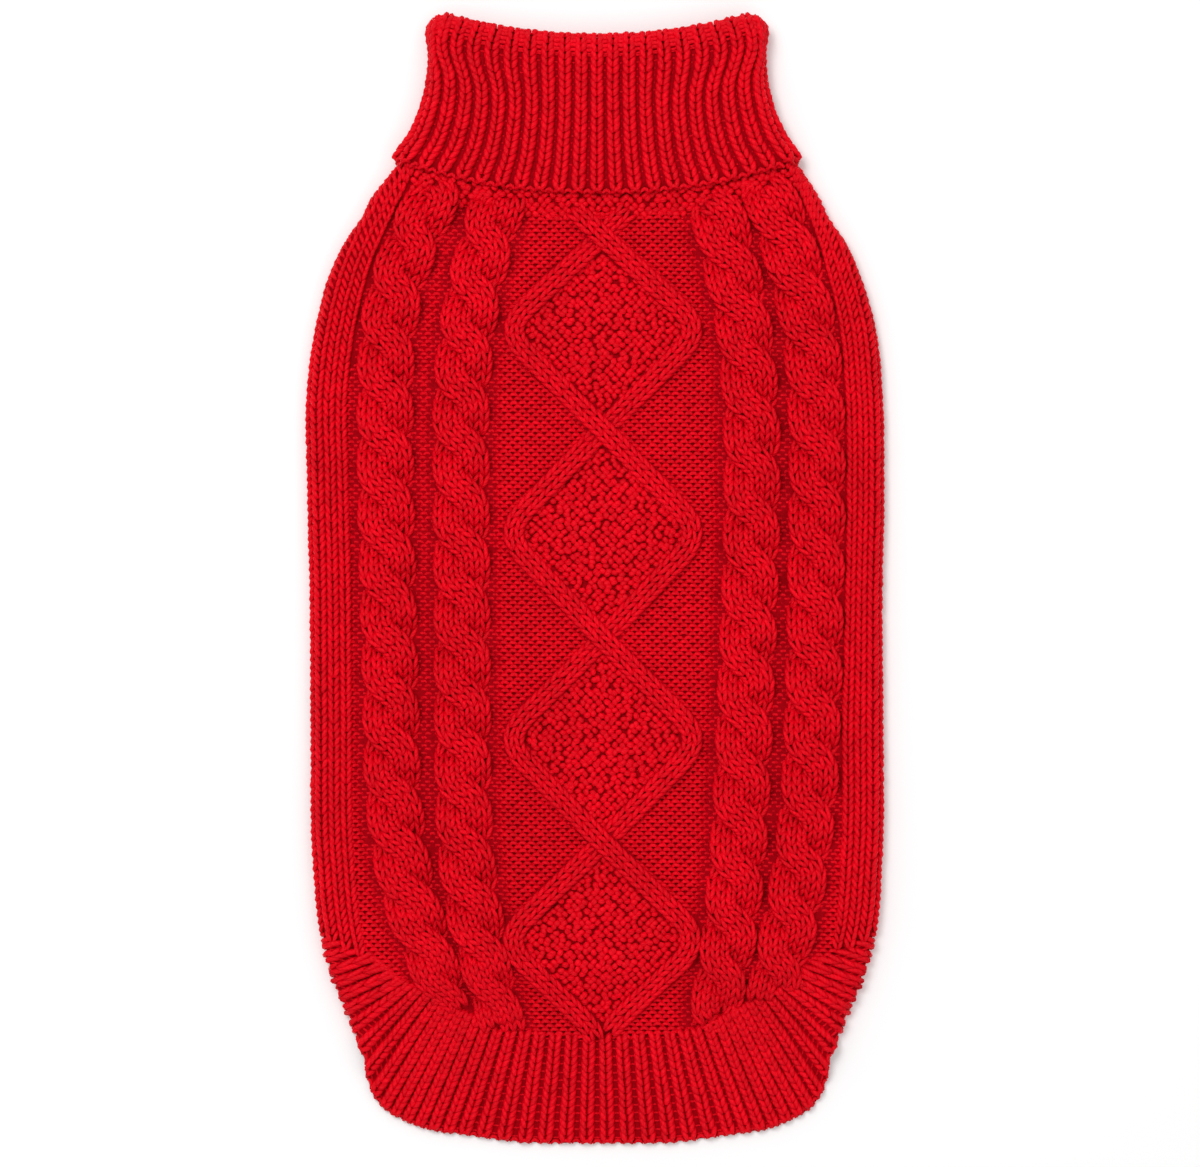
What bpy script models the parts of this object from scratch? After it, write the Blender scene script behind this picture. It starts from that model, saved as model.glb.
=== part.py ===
"""A knitted dog sweater, laid flat on its belly side.

Four pieces are knitted and sewn into one flattened tube: a cabled back panel that turns round both
side folds, a plain belly panel under it, a ribbed collar turned down over itself, and a ribbed band
round the rear opening. +Y points to the collar, +Z up, and the origin is on the floor at the middle.

Sizes are in millimetres and are scaled to metres when a mesh is made. A point of the tube is given
by how far across the wall it lies from the middle of the back (negative to the left), how far along
the garment, and how high it stands out of the wall's inner face.
"""

import bpy
import bmesh
import numpy as np
from mathutils import Vector
from mathutils.geometry import delaunay_2d_cdt

MM = 0.001
SHARP = np.radians(28)   # a crease steeper than this shows as an edge
CENTRE = (-0.80, 0.30, 0.0)   # the middle of the garment's box, in the tables' own places

# Driving sizes
WALL = 3.0            # a knitted wall, from its inner face to the crest of its stitches
SEAM = 0.3            # gap between two pieces where one is knitted on to the other
GAP = 0.9             # air between the two layers of the body
BAND = 16.8           # side band of plain stockinette, seen from above
COLUMN = 4.9          # one column of stitches in the side band
WRAP = 26.0           # how far the side band reaches in under the body, to the belly seam

CABLE = 11.4          # half the width of a rope cable
CABLE_RISE = 4.2
CORD = 4.7            # half the width of a lattice cord
CORD_RISE = 2.8
CROSSING_RISE = 1.0   # more, where one cord lies on the other
MOSS_RISE = 0.9
BAND_RISE = 0.9
RIB_OUT = 0.5         # a rib's crest above the wall, and its furrow below
RIB_IN = 0.8
EDGE_ROUND = 0.7      # how much a free edge is rounded off
LOBE_LOW = 0.40       # height of the furrow between two lobes of a rope, as a share of the rope's
SEAM_LOW = 0.25       # share of the relief that is left where the back is joined to the rear band

CLIMB = 9.0           # length over which the body climbs on to the collar's lower layer
FADE = 9.0            # length over which the relief runs out at a seam
DROP = 15.0           # length over which the back comes down to the floor behind the belly
SWELL = 0.45          # soft unevenness of the back where it lies on the belly
FOLD_REACH = 14.0     # how far in from a side fold the back starts to rise to it
FOLD_END = -187.0     # where the side folds run out into the curved hem, and over what length
FOLD_RUN_OUT = 21.0

COLLAR_HEIGHT = 13.0  # four layers of rib, one on another
COLLAR_WALL = 2.6
NECK_WALL = 2.8
COLLAR_RIBS = 22      # on each side of the flattened collar
COLLAR_LIFT = COLLAR_WALL + SEAM
COLLAR_REACH = 67.6, 81.8   # half the collar's width at its fold and at its free edge
COLLAR_CROWD = 0.11   # how far the upper ribs crowd towards the side folds, as a share of the girth
NECK_TUCK = 7.0       # how far the neck seam lies in under the collar's free edge
HEM_RIBS = 36         # from the middle of the back to the middle of the belly
HEM_RIBS_SHOWN = 23   # of those, the ones that show from above


def table(names, rows):
    """A table's columns by name, from one row for each section."""
    return dict(zip(names.split(), np.array(rows, float).T))


# Half widths of the flattened body at its side folds. Behind FOLD_END the numbers only carry the
# folds' lines on.
SIDES = table("along left right fold", [
    (-226, 108.0, 108.0, 6.8),
    (-199, 101.0, 101.0, 6.8),
    (-187, 96.4, 96.6, 6.8),
    (-176, 99.6, 100.0, 6.8),
    (-160, 106.4, 106.8, 7.2),
    (-144, 110.4, 111.2, 7.8),
    (-112, 113.8, 114.2, 8.0),
    (-60, 114.6, 114.6, 8.0),
    (-8, 115.0, 114.2, 8.0),
    (40, 116.0, 115.0, 8.0),
    (73, 116.4, 114.4, 8.0),
    (105, 112.0, 110.8, 8.0),
    (121, 107.8, 106.0, 8.0),
    (137, 100.4, 98.8, 8.0),
    (145, 94.6, 93.0, 8.0),
    (153, 90.8, 89.2, 7.8),
    (160, 85.4, 84.8, 7.4),
    (165, 81.0, 81.2, 7.0),
    (170, 77.0, 77.0, 6.9),
    (177, 73.4, 73.4, 6.9),
])

# Half width of the turned-down collar, from under its free edge to past its fold
COLLAR_SIDES = table("along half", [
    (155, 80.0), (163, 81.4), (168.6, 81.8), (172.6, 79.8), (176.6, 76.6), (184.6, 72.4),
    (192.6, 69.6), (200.6, 67.9), (208.6, 67.1), (220, 67.7), (228, 67.4),
])

# How strongly the ribs crowd outwards on the way down from the collar's fold to its free edge
COLLAR_LEAN = table("down lean", [(0, 0.4), (0.22, 1.0), (0.42, 0.3), (0.65, 0.1), (1, 0.15)])

# Middles of the four rope cables and of the lattice between them
CABLES = table("along left_outer left_inner lattice right_inner right_outer", [
    (-185, -55.0, -36.0, 1.6, 45.0, 66.0),
    (-165, -61.5, -41.5, 1.6, 48.5, 70.0),
    (-147, -67.6, -46.2, 2.0, 52.0, 74.6),
    (-127, -74.6, -50.0, 2.4, 54.4, 79.0),
    (-107, -78.8, -52.6, 2.4, 56.4, 82.0),
    (-87, -81.2, -53.4, 2.4, 57.6, 84.4),
    (-47, -82.4, -53.8, 2.4, 59.2, 86.2),
    (-7, -83.4, -54.0, 2.4, 60.8, 87.2),
    (33, -84.4, -54.3, 2.4, 61.8, 87.8),
    (73, -84.6, -54.2, 2.4, 61.2, 87.2),
    (101, -83.4, -51.8, 2.4, 58.6, 84.6),
    (121, -79.2, -48.2, 2.2, 54.6, 80.0),
    (147, -68.6, -40.8, 1.8, 48.2, 71.8),
    (168, -58.0, -34.0, 1.6, 42.0, 62.0),
])
NEIGHBOUR = {"left_outer": "left_inner", "left_inner": "left_outer",
             "right_inner": "right_outer", "right_outer": "right_inner"}
CABLE_START = {"left_outer": 127.6, "left_inner": 127.0, "right_inner": 120.7, "right_outer": 129.4}
# From one crossing of the rope to the next.
CABLE_PITCH = {"left_outer": 20.1, "left_inner": 20.1, "right_inner": 20.45, "right_outer": 20.9}

# Turns of one lattice cord, measured from the lattice's middle; the other cord is its mirror image
LATTICE = table("along across", [
    (168, -30.2), (137.8, 0), (100.6, 40.2), (60.6, 0), (19.4, -40.2), (-23, 0),
    (-63, 40.2), (-104.2, 0), (-143.4, -40.2), (-181, -1.5), (-190, -1.5),
])
TURN = 13.0           # how far before a turn the cord starts to round it
MOSS_TOP = 137.8      # the first crossing, where the moss stitch ends

# The ribs of the rear band, counted from the middle of the back. A rib runs from the line where it
# is picked up to the free edge. 0 across is the middle of the back, 1 the side fold, 2 the belly's middle.
HEM = table("rib in_across in_along out_across out_along", [
    (0, 0, -183.0, 0, -225.2),
    (4, 0.268, -181.4, 0.311, -224.6),
    (6.5, 0.408, -180.2, 0.502, -221.8),
    (8.5, 0.487, -176.0, 0.622, -220.0),
    (10.5, 0.545, -172.4, 0.727, -216.4),
    (13.5, 0.625, -167.4, 0.874, -205.8),
    (15.5, 0.685, -163.4, 0.985, -187.0),
    (18.5, 0.770, -157.0, 1.140, -171.5),
    (20.5, 0.840, -150.6, 1.240, -163.5),
    (22.5, 0.960, -143.8, 1.370, -157.0),
    (25, 1.130, -136.0, 1.500, -153.4),
    (29, 1.420, -120.0, 1.680, -151.0),
    (32, 1.680, -114.0, 1.820, -150.3),
    (36, 2, -112.0, 2, -150.0),
])

NECK_SIDE = 163.0     # where the belly seams end at the neck

# Lengthwise end of the two foreleg holes and how far they cut into the belly panel
LEG_FRONT, LEG_REAR, LEG_DEPTH = 118.0, 62.0, 33.0


def through(rows, column, at):
    """A smooth line through a table's rows: cubic pieces with the mean slope of their neighbours."""
    x, v = rows[next(iter(rows))], rows[column]
    slope = np.gradient(v, x)
    at = np.clip(at, x[0], x[-1])
    i = np.clip(np.searchsorted(x, at) - 1, 0, len(x) - 2)
    step = x[i + 1] - x[i]
    t = (at - x[i]) / step
    return (v[i] * (1 + 2 * t) * (1 - t) ** 2 + slope[i] * step * t * (1 - t) ** 2
            + v[i + 1] * t * t * (3 - 2 * t) + slope[i + 1] * step * t * t * (t - 1))


def ease(t):
    """0 below 0, 1 above 1, and a smooth rise between."""
    t = np.clip(t, 0, 1)
    return t * t * (3 - 2 * t)


def collar_edge(across):
    """How far along the garment the collar's free edge lies: lowest in the middle."""
    return 155.0 + 13.6 * (np.minimum(np.abs(across), 84) / 81) ** 2.3


def neck_seam(across):
    """The line where the body is joined to the collar, hidden under the collar."""
    return collar_edge(across) + NECK_TUCK


def half_width(across, along):
    return np.where(across < 0, through(SIDES, "left", along), through(SIDES, "right", along))


def fold_start(across, along):
    """Where the flat of the body ends and its side fold starts to turn."""
    return half_width(across, along) - through(SIDES, "fold", along) / 2


def fold_middle(along):
    """Radius of the wall's middle in the side fold."""
    return (through(SIDES, "fold", along) - WALL) / 2


def half_girth(across, along):
    """From the middle of the back to the middle of the belly, measured along the wall."""
    return 2 * fold_start(across, along) + np.pi * fold_middle(along)


def lift(across, along):
    """How far the collar's lower layer holds the body off the floor."""
    return COLLAR_LIFT * ease((along - collar_edge(across) + 1) / CLIMB + 1)


def belly_end(across):
    """The rear edge of everything that lies under the back, as the underside's free edge runs."""
    return -150.0 - 24.0 * (np.minimum(np.abs(across), 98) / 92) ** 4


def back_inner(across, along):
    """Height of the back's inner face. It lies on the belly, rises to the side folds, and comes
    down to the floor behind the belly's rear edge."""
    low = (WALL + GAP) * ease((along - belly_end(across) + 2) / DROP + 1)
    swell = SWELL * (1 + np.sin(along / 37 + 0.8) * np.sin(across / 27 + 0.5))
    low = low + swell * ease((110 - np.abs(along + 20)) / 40) * ease((84 - np.abs(across)) / 30)
    rise = through(SIDES, "fold", along) - WALL
    at_fold = ease((np.abs(across) - fold_start(across, along)) / FOLD_REACH + 1)
    at_fold = at_fold * ease((along - FOLD_END) / FOLD_RUN_OUT + 1)
    return low + (rise - low) * at_fold + lift(across, along)


def lay(across, along, height):
    """Where a point of the body tube lies: over the top as far as the side fold, round it as a half
    circle, and back in under the body. Relief fades out as the wall turns to the floor."""
    across, along, height = np.broadcast_arrays(across, along, height)
    start, middle = fold_start(across, along), fold_middle(along)
    reach = np.abs(across)
    turn = np.clip((reach - start) / middle, 0, np.pi)
    proud = np.maximum(height - WALL, 0)
    height = height - proud * (1 - np.cos(turn)) / 2
    radius = middle - WALL / 2 + height
    fold = through(SIDES, "fold", along) / 2
    under = start - (reach - start - np.pi * middle)
    x = np.where(turn == 0, reach, np.where(turn == np.pi, under, start + radius * np.sin(turn)))
    round_z = fold + radius * np.cos(turn) + lift(x, along)
    z = np.where(turn == 0, back_inner(across, along) + height, round_z)
    return np.stack([np.sign(across) * x, along, z], axis=-1)


def beside_collar(across, behind):
    """How far along the garment a point lies that is this far behind the collar's free edge. The
    edge bends with the distance from the middle, so the two are settled together."""
    along = np.full(np.shape(across), 160.0)
    for _ in range(40):
        x = np.abs(lay(across, along, WALL)[..., 0])
        along = (along + collar_edge(x) - behind) / 2
    return along


def cord_line(side):
    """One lattice cord as a line: straight runs with the turns rounded. side 1 or -1 mirrors it."""
    corners = np.stack([side * LATTICE["across"], LATTICE["along"]], axis=-1)
    line = [corners[:1]]
    t = np.linspace(0, 1, 5)[:, None]
    for before, corner, after in zip(corners, corners[1:], corners[2:]):
        a = corner + (before - corner) * min(0.45, TURN / np.linalg.norm(before - corner))
        b = corner + (after - corner) * min(0.45, TURN / np.linalg.norm(after - corner))
        (ax, ay), (bx, by) = a - corner, b - corner
        straight = abs(ax * by - ay * bx) < 5
        bend = (1 - t) ** 2 * a + 2 * t * (1 - t) * corner + t * t * b
        line.append(corner[None] if straight else bend)
    line = np.concatenate(line + [corners[-1:]])
    middle = through(CABLES, "lattice", line[:, 1])
    return np.stack([line[:, 0] + middle, line[:, 1]], axis=-1)


CORD_LINES = [cord_line(1), cord_line(-1)]


def distance_to(line, across, along):
    """Distance of points from a line of straight pieces."""
    best = np.full(np.shape(across), np.inf)
    for (ax, ay), (bx, by) in zip(line, line[1:]):
        dx, dy = bx - ax, by - ay
        t = np.clip(((across - ax) * dx + (along - ay) * dy) / (dx * dx + dy * dy), 0, 1)
        best = np.minimum(best, np.hypot(across - ax - t * dx, along - ay - t * dy))
    return best


def rope_half(name, along):
    """Half the width of a rope cable, less where its neighbour squeezes it."""
    apart = np.abs(through(CABLES, name, along) - through(CABLES, NEIGHBOUR[name], along))
    return np.minimum(CABLE, apart / 2 - 0.3)


def cable_relief(across, along):
    """Four ropes. Across each rope the rise is round, and along it lobes run down to the right,
    parted by furrows that cross the rope in the same slant."""
    rise = 0
    for name in NEIGHBOUR:
        w = np.clip((across - through(CABLES, name, along)) / rope_half(name, along), -1, 1)
        lobe = np.abs(np.sin(np.pi * ((CABLE_START[name] - along) / CABLE_PITCH[name] - w / 2)))
        height = LOBE_LOW + (1 - LOBE_LOW) * lobe ** 0.6
        rise = np.maximum(rise, CABLE_RISE * np.sqrt(1 - w * w) * height)
    return rise


def lattice_reach(along):
    """How far from the lattice's middle both cords run, before their turns are rounded."""
    return np.abs(np.interp(along, LATTICE["along"][::-1], LATTICE["across"][::-1]))


def lattice_relief(across, along):
    """Two crossing cords, the moss-stitch pads between them, and a rise where one cord is on top."""
    first, second = (distance_to(line, across, along) for line in CORD_LINES)
    first_round, second_round = (
        np.sqrt(np.clip(1 - (distance / CORD) ** 2, 0, 1)) for distance in (first, second))
    cords = CORD_RISE * np.maximum(first_round, second_round) + CROSSING_RISE * first_round * second_round
    inside = np.abs(across - through(CABLES, "lattice", along)) < lattice_reach(along)
    moss = MOSS_RISE * inside * ease((np.minimum(first, second) - CORD) / 3) * (along < MOSS_TOP)
    return np.maximum(cords, moss)


def band_edge(side, along):
    """The side band's inner edge. Near the collar the rope beside it crowds the band."""
    rope = np.where(side < 0, -through(CABLES, "left_outer", along), through(CABLES, "right_outer", along))
    return np.maximum(half_width(side, along) - BAND, rope + CABLE + 0.6)


def band_relief(across, along):
    """Round columns of stitches side by side, from the band's inner edge round the fold."""
    into = np.abs(across) - band_edge(across, along)
    return np.where(into > 0, BAND_RISE * (0.25 + 0.75 * np.abs(np.sin(np.pi * into / COLUMN))), 0)


def relief(across, along):
    """How far the back panel's outer face stands above its plain ground."""
    from_collar = ease((collar_edge(across) - 3 - along) / FADE)
    from_hem = SEAM_LOW + (1 - SEAM_LOW) * ease((along - hem_pick_up(across)) / FADE)
    raised = np.maximum(cable_relief(across, along), lattice_relief(across, along))
    return from_collar * from_hem * np.maximum(raised, band_relief(across, along))


def hem_point(rib, part):
    """A point of the rear band. rib counts from the middle of the back, negative to the left, and
    part runs from 0 where it is picked up to 1 at its free edge."""
    side = np.where(rib < 0, -1.0, 1.0)
    ends = []
    for across, along in (("in_across", "in_along"), ("out_across", "out_along")):
        end = through(HEM, along, np.abs(rib))
        ends.append((through(HEM, across, np.abs(rib)) * half_girth(side, end) / 2, end))
    (in_across, in_along), (out_across, out_along) = ends
    return side * (in_across + (out_across - in_across) * part), in_along + (out_along - in_along) * part


def rib_at_belly_seam():
    """The rib count where the pick-up line crosses the seam between side band and belly."""
    ribs = np.linspace(HEM_RIBS_SHOWN, HEM_RIBS, 400)
    across, along = hem_point(ribs, 0.0)
    return np.interp(0, across - belly_seam(1, along), ribs)


def belly_seam(side, along):
    """The seam between side band and belly, measured round the wall."""
    return half_girth(side, along) - (half_width(side, along) - WRAP)


# Ribs and furrows where they show, closer steps round the fold, and every other rib below
SEAM_RIB = rib_at_belly_seam()
HEM_STEPS = np.unique(np.concatenate([
    np.arange(0, HEM_RIBS_SHOWN + 3, 0.5), [SEAM_RIB], np.arange(HEM_RIBS, SEAM_RIB + 1, -1.5)]))
HEM_LINE = np.stack(hem_point(HEM_STEPS, 0.0), axis=-1)


def hem_pick_up(across):
    """The pick-up line on the back, along the garment."""
    return np.interp(np.abs(across), HEM_LINE[:, 0], HEM_LINE[:, 1])


def shifted(line, by):
    """A line moved sideways, to its left."""
    run = np.gradient(line, axis=0)
    run = run / np.linalg.norm(run, axis=1, keepdims=True)
    return line + by * np.stack([-run[:, 1], run[:, 0]], axis=-1)


def object_from(name, points, faces, colour):
    """A named object from points in millimetres, with its own yarn material."""
    mesh = bpy.data.meshes.new(name)
    mesh.from_pydata(((np.asarray(points) - CENTRE) * MM).tolist(), [], faces)
    shape = bmesh.new()
    shape.from_mesh(mesh)
    bmesh.ops.remove_doubles(shape, verts=shape.verts, dist=0.00001)
    bmesh.ops.triangulate(shape, faces=shape.faces)
    bmesh.ops.recalc_face_normals(shape, faces=shape.faces)
    shape.to_mesh(mesh)
    shape.free()
    mesh.shade_smooth()
    mesh.set_sharp_from_angle(angle=SHARP)
    material = bpy.data.materials.new(name + "_yarn")
    material.use_nodes = True
    finish = material.node_tree.nodes["Principled BSDF"]
    finish.inputs["Base Color"].default_value = (*colour, 1)
    finish.inputs["Roughness"].default_value = 0.9
    finish.inputs["Metallic"].default_value = 0.0
    mesh.materials.append(material)
    placed = bpy.data.objects.new(name, mesh)
    garment.objects.link(placed)
    return placed


def sheet(border, lines):
    """Triangles of a flat sheet inside its border that keep to the lines drawn on it. The first
    points are the border's own."""
    points, edges = [], []
    for line, closed in [(border, True)] + [(line, False) for line in lines if len(line) > 0]:
        first = len(points)
        points += [Vector((float(a), float(b))) for a, b in line]
        edges += [(first + i, first + i + 1) for i in range(len(line) - 1)]
        if closed:
            edges.append((first + len(line) - 1, first))
    found, _, faces, origin, _, _ = delaunay_2d_cdt(points, edges, [], 1, 0.01)
    place = {}
    for index, sources in enumerate(origin):
        for source in sources:
            place[source] = index
    rim = [place[i] for i in range(len(border))]
    return np.array([(p.x, p.y) for p in found]), [list(face) for face in faces], rim


def wall(name, border, outer_lines, inner_lines, outer_at, inner_at, colour):
    """A closed wall between an outer and an inner face that share one border."""
    outer, outer_faces, outer_rim = sheet(border, outer_lines)
    inner, inner_faces, inner_rim = sheet(border, inner_lines)
    points = np.concatenate([outer_at(outer), inner_at(inner)])
    faces = outer_faces + [[len(outer) + i for i in reversed(face)] for face in inner_faces]
    for i in range(len(border)):
        j = (i + 1) % len(border)
        faces.append([outer_rim[j], outer_rim[i], len(outer) + inner_rim[i], len(outer) + inner_rim[j]])
    return object_from(name, points, faces, colour)


def kept(line, inside):
    """The stretches of a line that lie inside, as separate lines."""
    good = inside(line)
    cuts = np.flatnonzero(np.diff(good.astype(int))) + 1
    return [part for part, use in zip(np.split(line, cuts), np.split(good, cuts)) if use[0]]


def back_border():
    """The back panel's edge: along the rear band, up one belly seam, along the neck and down again."""
    shown = HEM_STEPS <= SEAM_RIB
    sides = [np.stack(hem_point(side * HEM_STEPS[shown], 0.0), axis=-1) for side in (-1, 1)]
    rear = shifted(np.concatenate([sides[0][:0:-1], sides[1]]), SEAM)
    side_rows = {}
    for side in (-1, 1):
        low = rear[-1 if side > 0 else 0, 1] + 1.0
        along = np.linspace(low, NECK_SIDE, 34)
        side_rows[side] = np.stack([side * belly_seam(side, along), along], axis=-1)
    half = belly_seam(1, NECK_SIDE)
    across = half * np.linspace(-1, 1, 97)[1:-1]
    neck = np.stack([across, beside_collar(across, -NECK_TUCK + SEAM)], axis=-1)
    return np.concatenate([rear, side_rows[1], neck[::-1], side_rows[-1][::-1]]), side_rows


def inside_back(line):
    """Which points lie well inside the back panel."""
    across, along = line[:, 0], line[:, 1]
    low = hem_pick_up(across) + 1.6
    high = beside_collar(across, -NECK_TUCK) - 1.8
    return (along > low) & (along < high) & (np.abs(across) < belly_seam(across, along) - 1.4)


def fold_lines(turns, step):
    """Lines that follow both side folds, at the given turns of the wall."""
    along = np.arange(-176, NECK_SIDE, step)
    return [np.stack([side * (fold_start(side, along) + turn * fold_middle(along)), along], axis=-1)
            for side in (-1, 1) for turn in turns]


def below_collar(line):
    """Which points of a line lie clear of the slope up to the collar."""
    return line[:, 1] < beside_collar(line[:, 0], 12.5)


def evenly(line, step):
    """A line's points again, evenly spaced along it."""
    run = np.concatenate([[0], np.cumsum(np.linalg.norm(np.diff(line, axis=0), axis=1))])
    at = np.arange(0, run[-1], step)
    return np.stack([np.interp(at, run, line[:, 0]), np.interp(at, run, line[:, 1])], axis=-1)


def back_lines():
    """Lines drawn on the back panel's outer face: rope lobes and furrows, cords, band columns, folds
    and the slope up to the collar."""
    lines = []
    lobe = np.array([-1, -0.86, -0.5, 0, 0.5, 0.86, 1])
    quarter = np.arange(-10, 66)[:, None]
    for name in NEIGHBOUR:
        along = CABLE_START[name] - CABLE_PITCH[name] * (quarter / 4 + lobe / 2)
        rows = np.stack([through(CABLES, name, along) + rope_half(name, along) * lobe, along], axis=-1)
        for row in [*rows, rows[:, 0], rows[:, -1]]:
            lines += kept(row, lambda row: inside_back(row) & below_collar(row))
    for line in CORD_LINES:
        for offset in (-1.0, -0.7, 0, 0.7, 1.0):
            side = shifted(evenly(line, 5.0), offset * CORD)
            lines += kept(side, lambda row: inside_back(row) & below_collar(row))
    for along in np.arange(MOSS_TOP, -181, -10.5):
        reach = max(lattice_reach(along) - 2.4 * CORD, 0) * np.linspace(-1, 1, 3)
        pad = np.stack([through(CABLES, "lattice", along) + reach, np.full(3, along)], axis=-1)
        lines += kept(pad, lambda row: inside_back(row) & (np.ptp(row[:, 0]) > CORD))
    along = np.arange(-176, 160, 9.0)
    for side in (-1, 1):
        for columns in (0, 0.5, 1, 1.5, 2, 2.5):
            across = side * (band_edge(side, along) + columns * COLUMN)
            column = np.stack([across, along], axis=-1)
            lines += kept(column, lambda row: inside_back(row) & below_collar(row)
                          & (np.abs(row[:, 0]) < fold_start(row[:, 0], row[:, 1]) - 1))
    for turn in fold_lines((0, np.pi / 3, 2 * np.pi / 3, np.pi), 9.0):
        lines += kept(turn, lambda row: inside_back(row) & below_collar(row))
    return lines + collar_slope_lines(4.0)


def collar_slope_lines(step):
    """Lines across the body where it rises on to the collar's lower layer."""
    across = np.arange(-140, 140.1, step)
    lines = []
    for behind in (11.0, 8.0, 5.0, 2.0, -1.5):
        row = np.stack([across, beside_collar(across, behind)], axis=-1)
        lines += kept(row, inside_back)
    return lines


def inner_lines():
    """The plain inner face needs only its folds, its slopes and a few rows between."""
    lines = []
    for turn in fold_lines((0, np.pi / 2, np.pi), 12.0):
        lines += kept(turn, lambda row: inside_back(row) & below_collar(row))
    for along in np.concatenate([np.arange(-176, -140, 6.0), np.arange(-136, 140, 23.0)]):
        across = np.arange(-96, 96.1, 16.0)
        row = np.stack([across, np.full_like(across, along)], axis=-1)
        lines += kept(row, lambda row: inside_back(row) & below_collar(row)
                      & (np.abs(row[:, 0]) < fold_start(row[:, 0], row[:, 1]) - 3))
    return lines + collar_slope_lines(10.0)


def make_back_panel():
    """The cabled back, with its side bands round the folds to the belly seams."""
    border, _ = back_border()
    return wall(
        "back_panel", border, back_lines(), inner_lines(),
        lambda p: lay(p[:, 0], p[:, 1], WALL + relief(p[:, 0], p[:, 1])),
        lambda p: lay(p[:, 0], p[:, 1], 0.0),
        (0.62, 0.004, 0.014))


def leg_notch(along):
    """How far a foreleg hole cuts in from the belly seam: a half round, flat at the seam."""
    t = (along - LEG_REAR) / (LEG_FRONT - LEG_REAR)
    return np.where((t > 0) & (t < 1), LEG_DEPTH * np.sqrt(np.clip(1 - (2 * t - 1) ** 2, 0, 1)) ** 0.8, 0)


def make_belly_panel():
    """The plain underside: flat on the floor, and lifted at the neck by the collar's lower layer."""
    _, side_rows = back_border()
    rear = []
    for side in (-1, 1):
        across, along = hem_point(side * HEM_STEPS[HEM_STEPS >= SEAM_RIB], 0.0)
        rear.append(np.stack([side * half_girth(side, along) - across, along], axis=-1))
    rear = shifted(np.concatenate([rear[0], rear[1][-2::-1]]), SEAM)
    rear[[0, -1], 0] -= (-SEAM, SEAM)
    sides = {}
    for side in (-1, 1):
        along = np.unique(np.concatenate([
            side_rows[side][:, 1],
            (LEG_FRONT + LEG_REAR) / 2 + (LEG_FRONT - LEG_REAR) / 2 * np.cos(np.linspace(0, np.pi, 17))]))
        along = along[along > rear[-1 if side > 0 else 0, 1] + 1.0]
        across = half_width(side, along) - WRAP - SEAM - leg_notch(along)
        sides[side] = np.stack([side * across, along], axis=-1)
    across = np.linspace(sides[-1][-1, 0], sides[1][-1, 0], 25)[1:-1]
    neck = np.stack([across, neck_seam(across) - SEAM], axis=-1)
    border = np.concatenate([rear, sides[1], neck[::-1], sides[-1][::-1]])
    lines = []
    for below in (10.0, 7.5, 5.0, 2.5, -0.5):
        across = np.linspace(-46, 46, 12)
        lines.append(np.stack([across, collar_edge(across) - below], axis=-1))
    lines.append(np.stack([np.linspace(-40, 40, 5), np.full(5, 20.0)], axis=-1))
    return wall(
        "belly_panel", border, lines, lines,
        lambda p: np.stack([p[:, 0], p[:, 1], lift(p[:, 0], p[:, 1])], axis=-1),
        lambda p: np.stack([p[:, 0], p[:, 1], lift(p[:, 0], p[:, 1]) + WALL], axis=-1),
        (0.56, 0.004, 0.012))


def rings(rows):
    """Quads between neighbouring rings, closed round and from the last ring to the first."""
    count, size = rows.shape[:2]
    index = np.arange(count * size).reshape(count, size)
    after = np.roll(index, -1, axis=0)
    quads = np.stack([index, np.roll(index, -1, axis=1), np.roll(after, -1, axis=1), after], axis=-1)
    return rows.reshape(-1, 3), quads.reshape(-1, 4).tolist()


def rib_wave(rib):
    """1 on a rib's crest, halfway between two counts, and 0 in its furrows."""
    return np.sin(np.pi * rib) ** 2


def make_hem_rib():
    """The rear band: one closed ring. Each ring of the mesh is the wall's section along one rib or
    furrow; ribs are raised where they show and the underside is plain, flat on the floor."""
    ribs = np.concatenate([HEM_STEPS, -HEM_STEPS[-2:0:-1]])
    parts = np.linspace(0, 1, 161)
    across, along = hem_point(ribs[:, None], parts[None])
    turn = np.clip((np.abs(across) - fold_start(across, along)) / fold_middle(along), 0, np.pi)
    effort = parts + 1.4 * np.maximum.accumulate(turn, axis=1) / np.pi
    outer = np.array([np.interp(np.linspace(0, e[-1], 8), e, parts) for e in effort])
    inner = np.array([np.interp(np.linspace(e[-1], 0, 6), e, parts) for e in effort])
    shown = np.abs(ribs) < HEM_RIBS_SHOWN
    crest = np.where(shown, RIB_OUT * rib_wave(ribs) - RIB_IN * (1 - rib_wave(ribs)), 0)
    heights = np.concatenate([
        WALL + crest[:, None] * np.array([0.3] + [1.0] * 6 + [0.7]),
        np.zeros((len(ribs), 6))], axis=1)
    heights[:, 7] -= EDGE_ROUND
    heights[:, 8] += EDGE_ROUND / 2
    part = np.concatenate([outer, inner], axis=1)
    across, along = hem_point(ribs[:, None], part)
    points = lay(across, along, heights)
    return object_from("hem_rib", *rings(points), (0.6, 0.004, 0.014))


def collar_top(across):
    """How far along the garment the collar's fold lies: lowest in the middle, with rounded corners."""
    reach = np.abs(across)
    return 218.0 + 8.0 * (np.minimum(reach, 60) / 60) ** 2 - 3.2 * np.clip((reach - 58) / 9.7, 0, 1) ** 2


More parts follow.
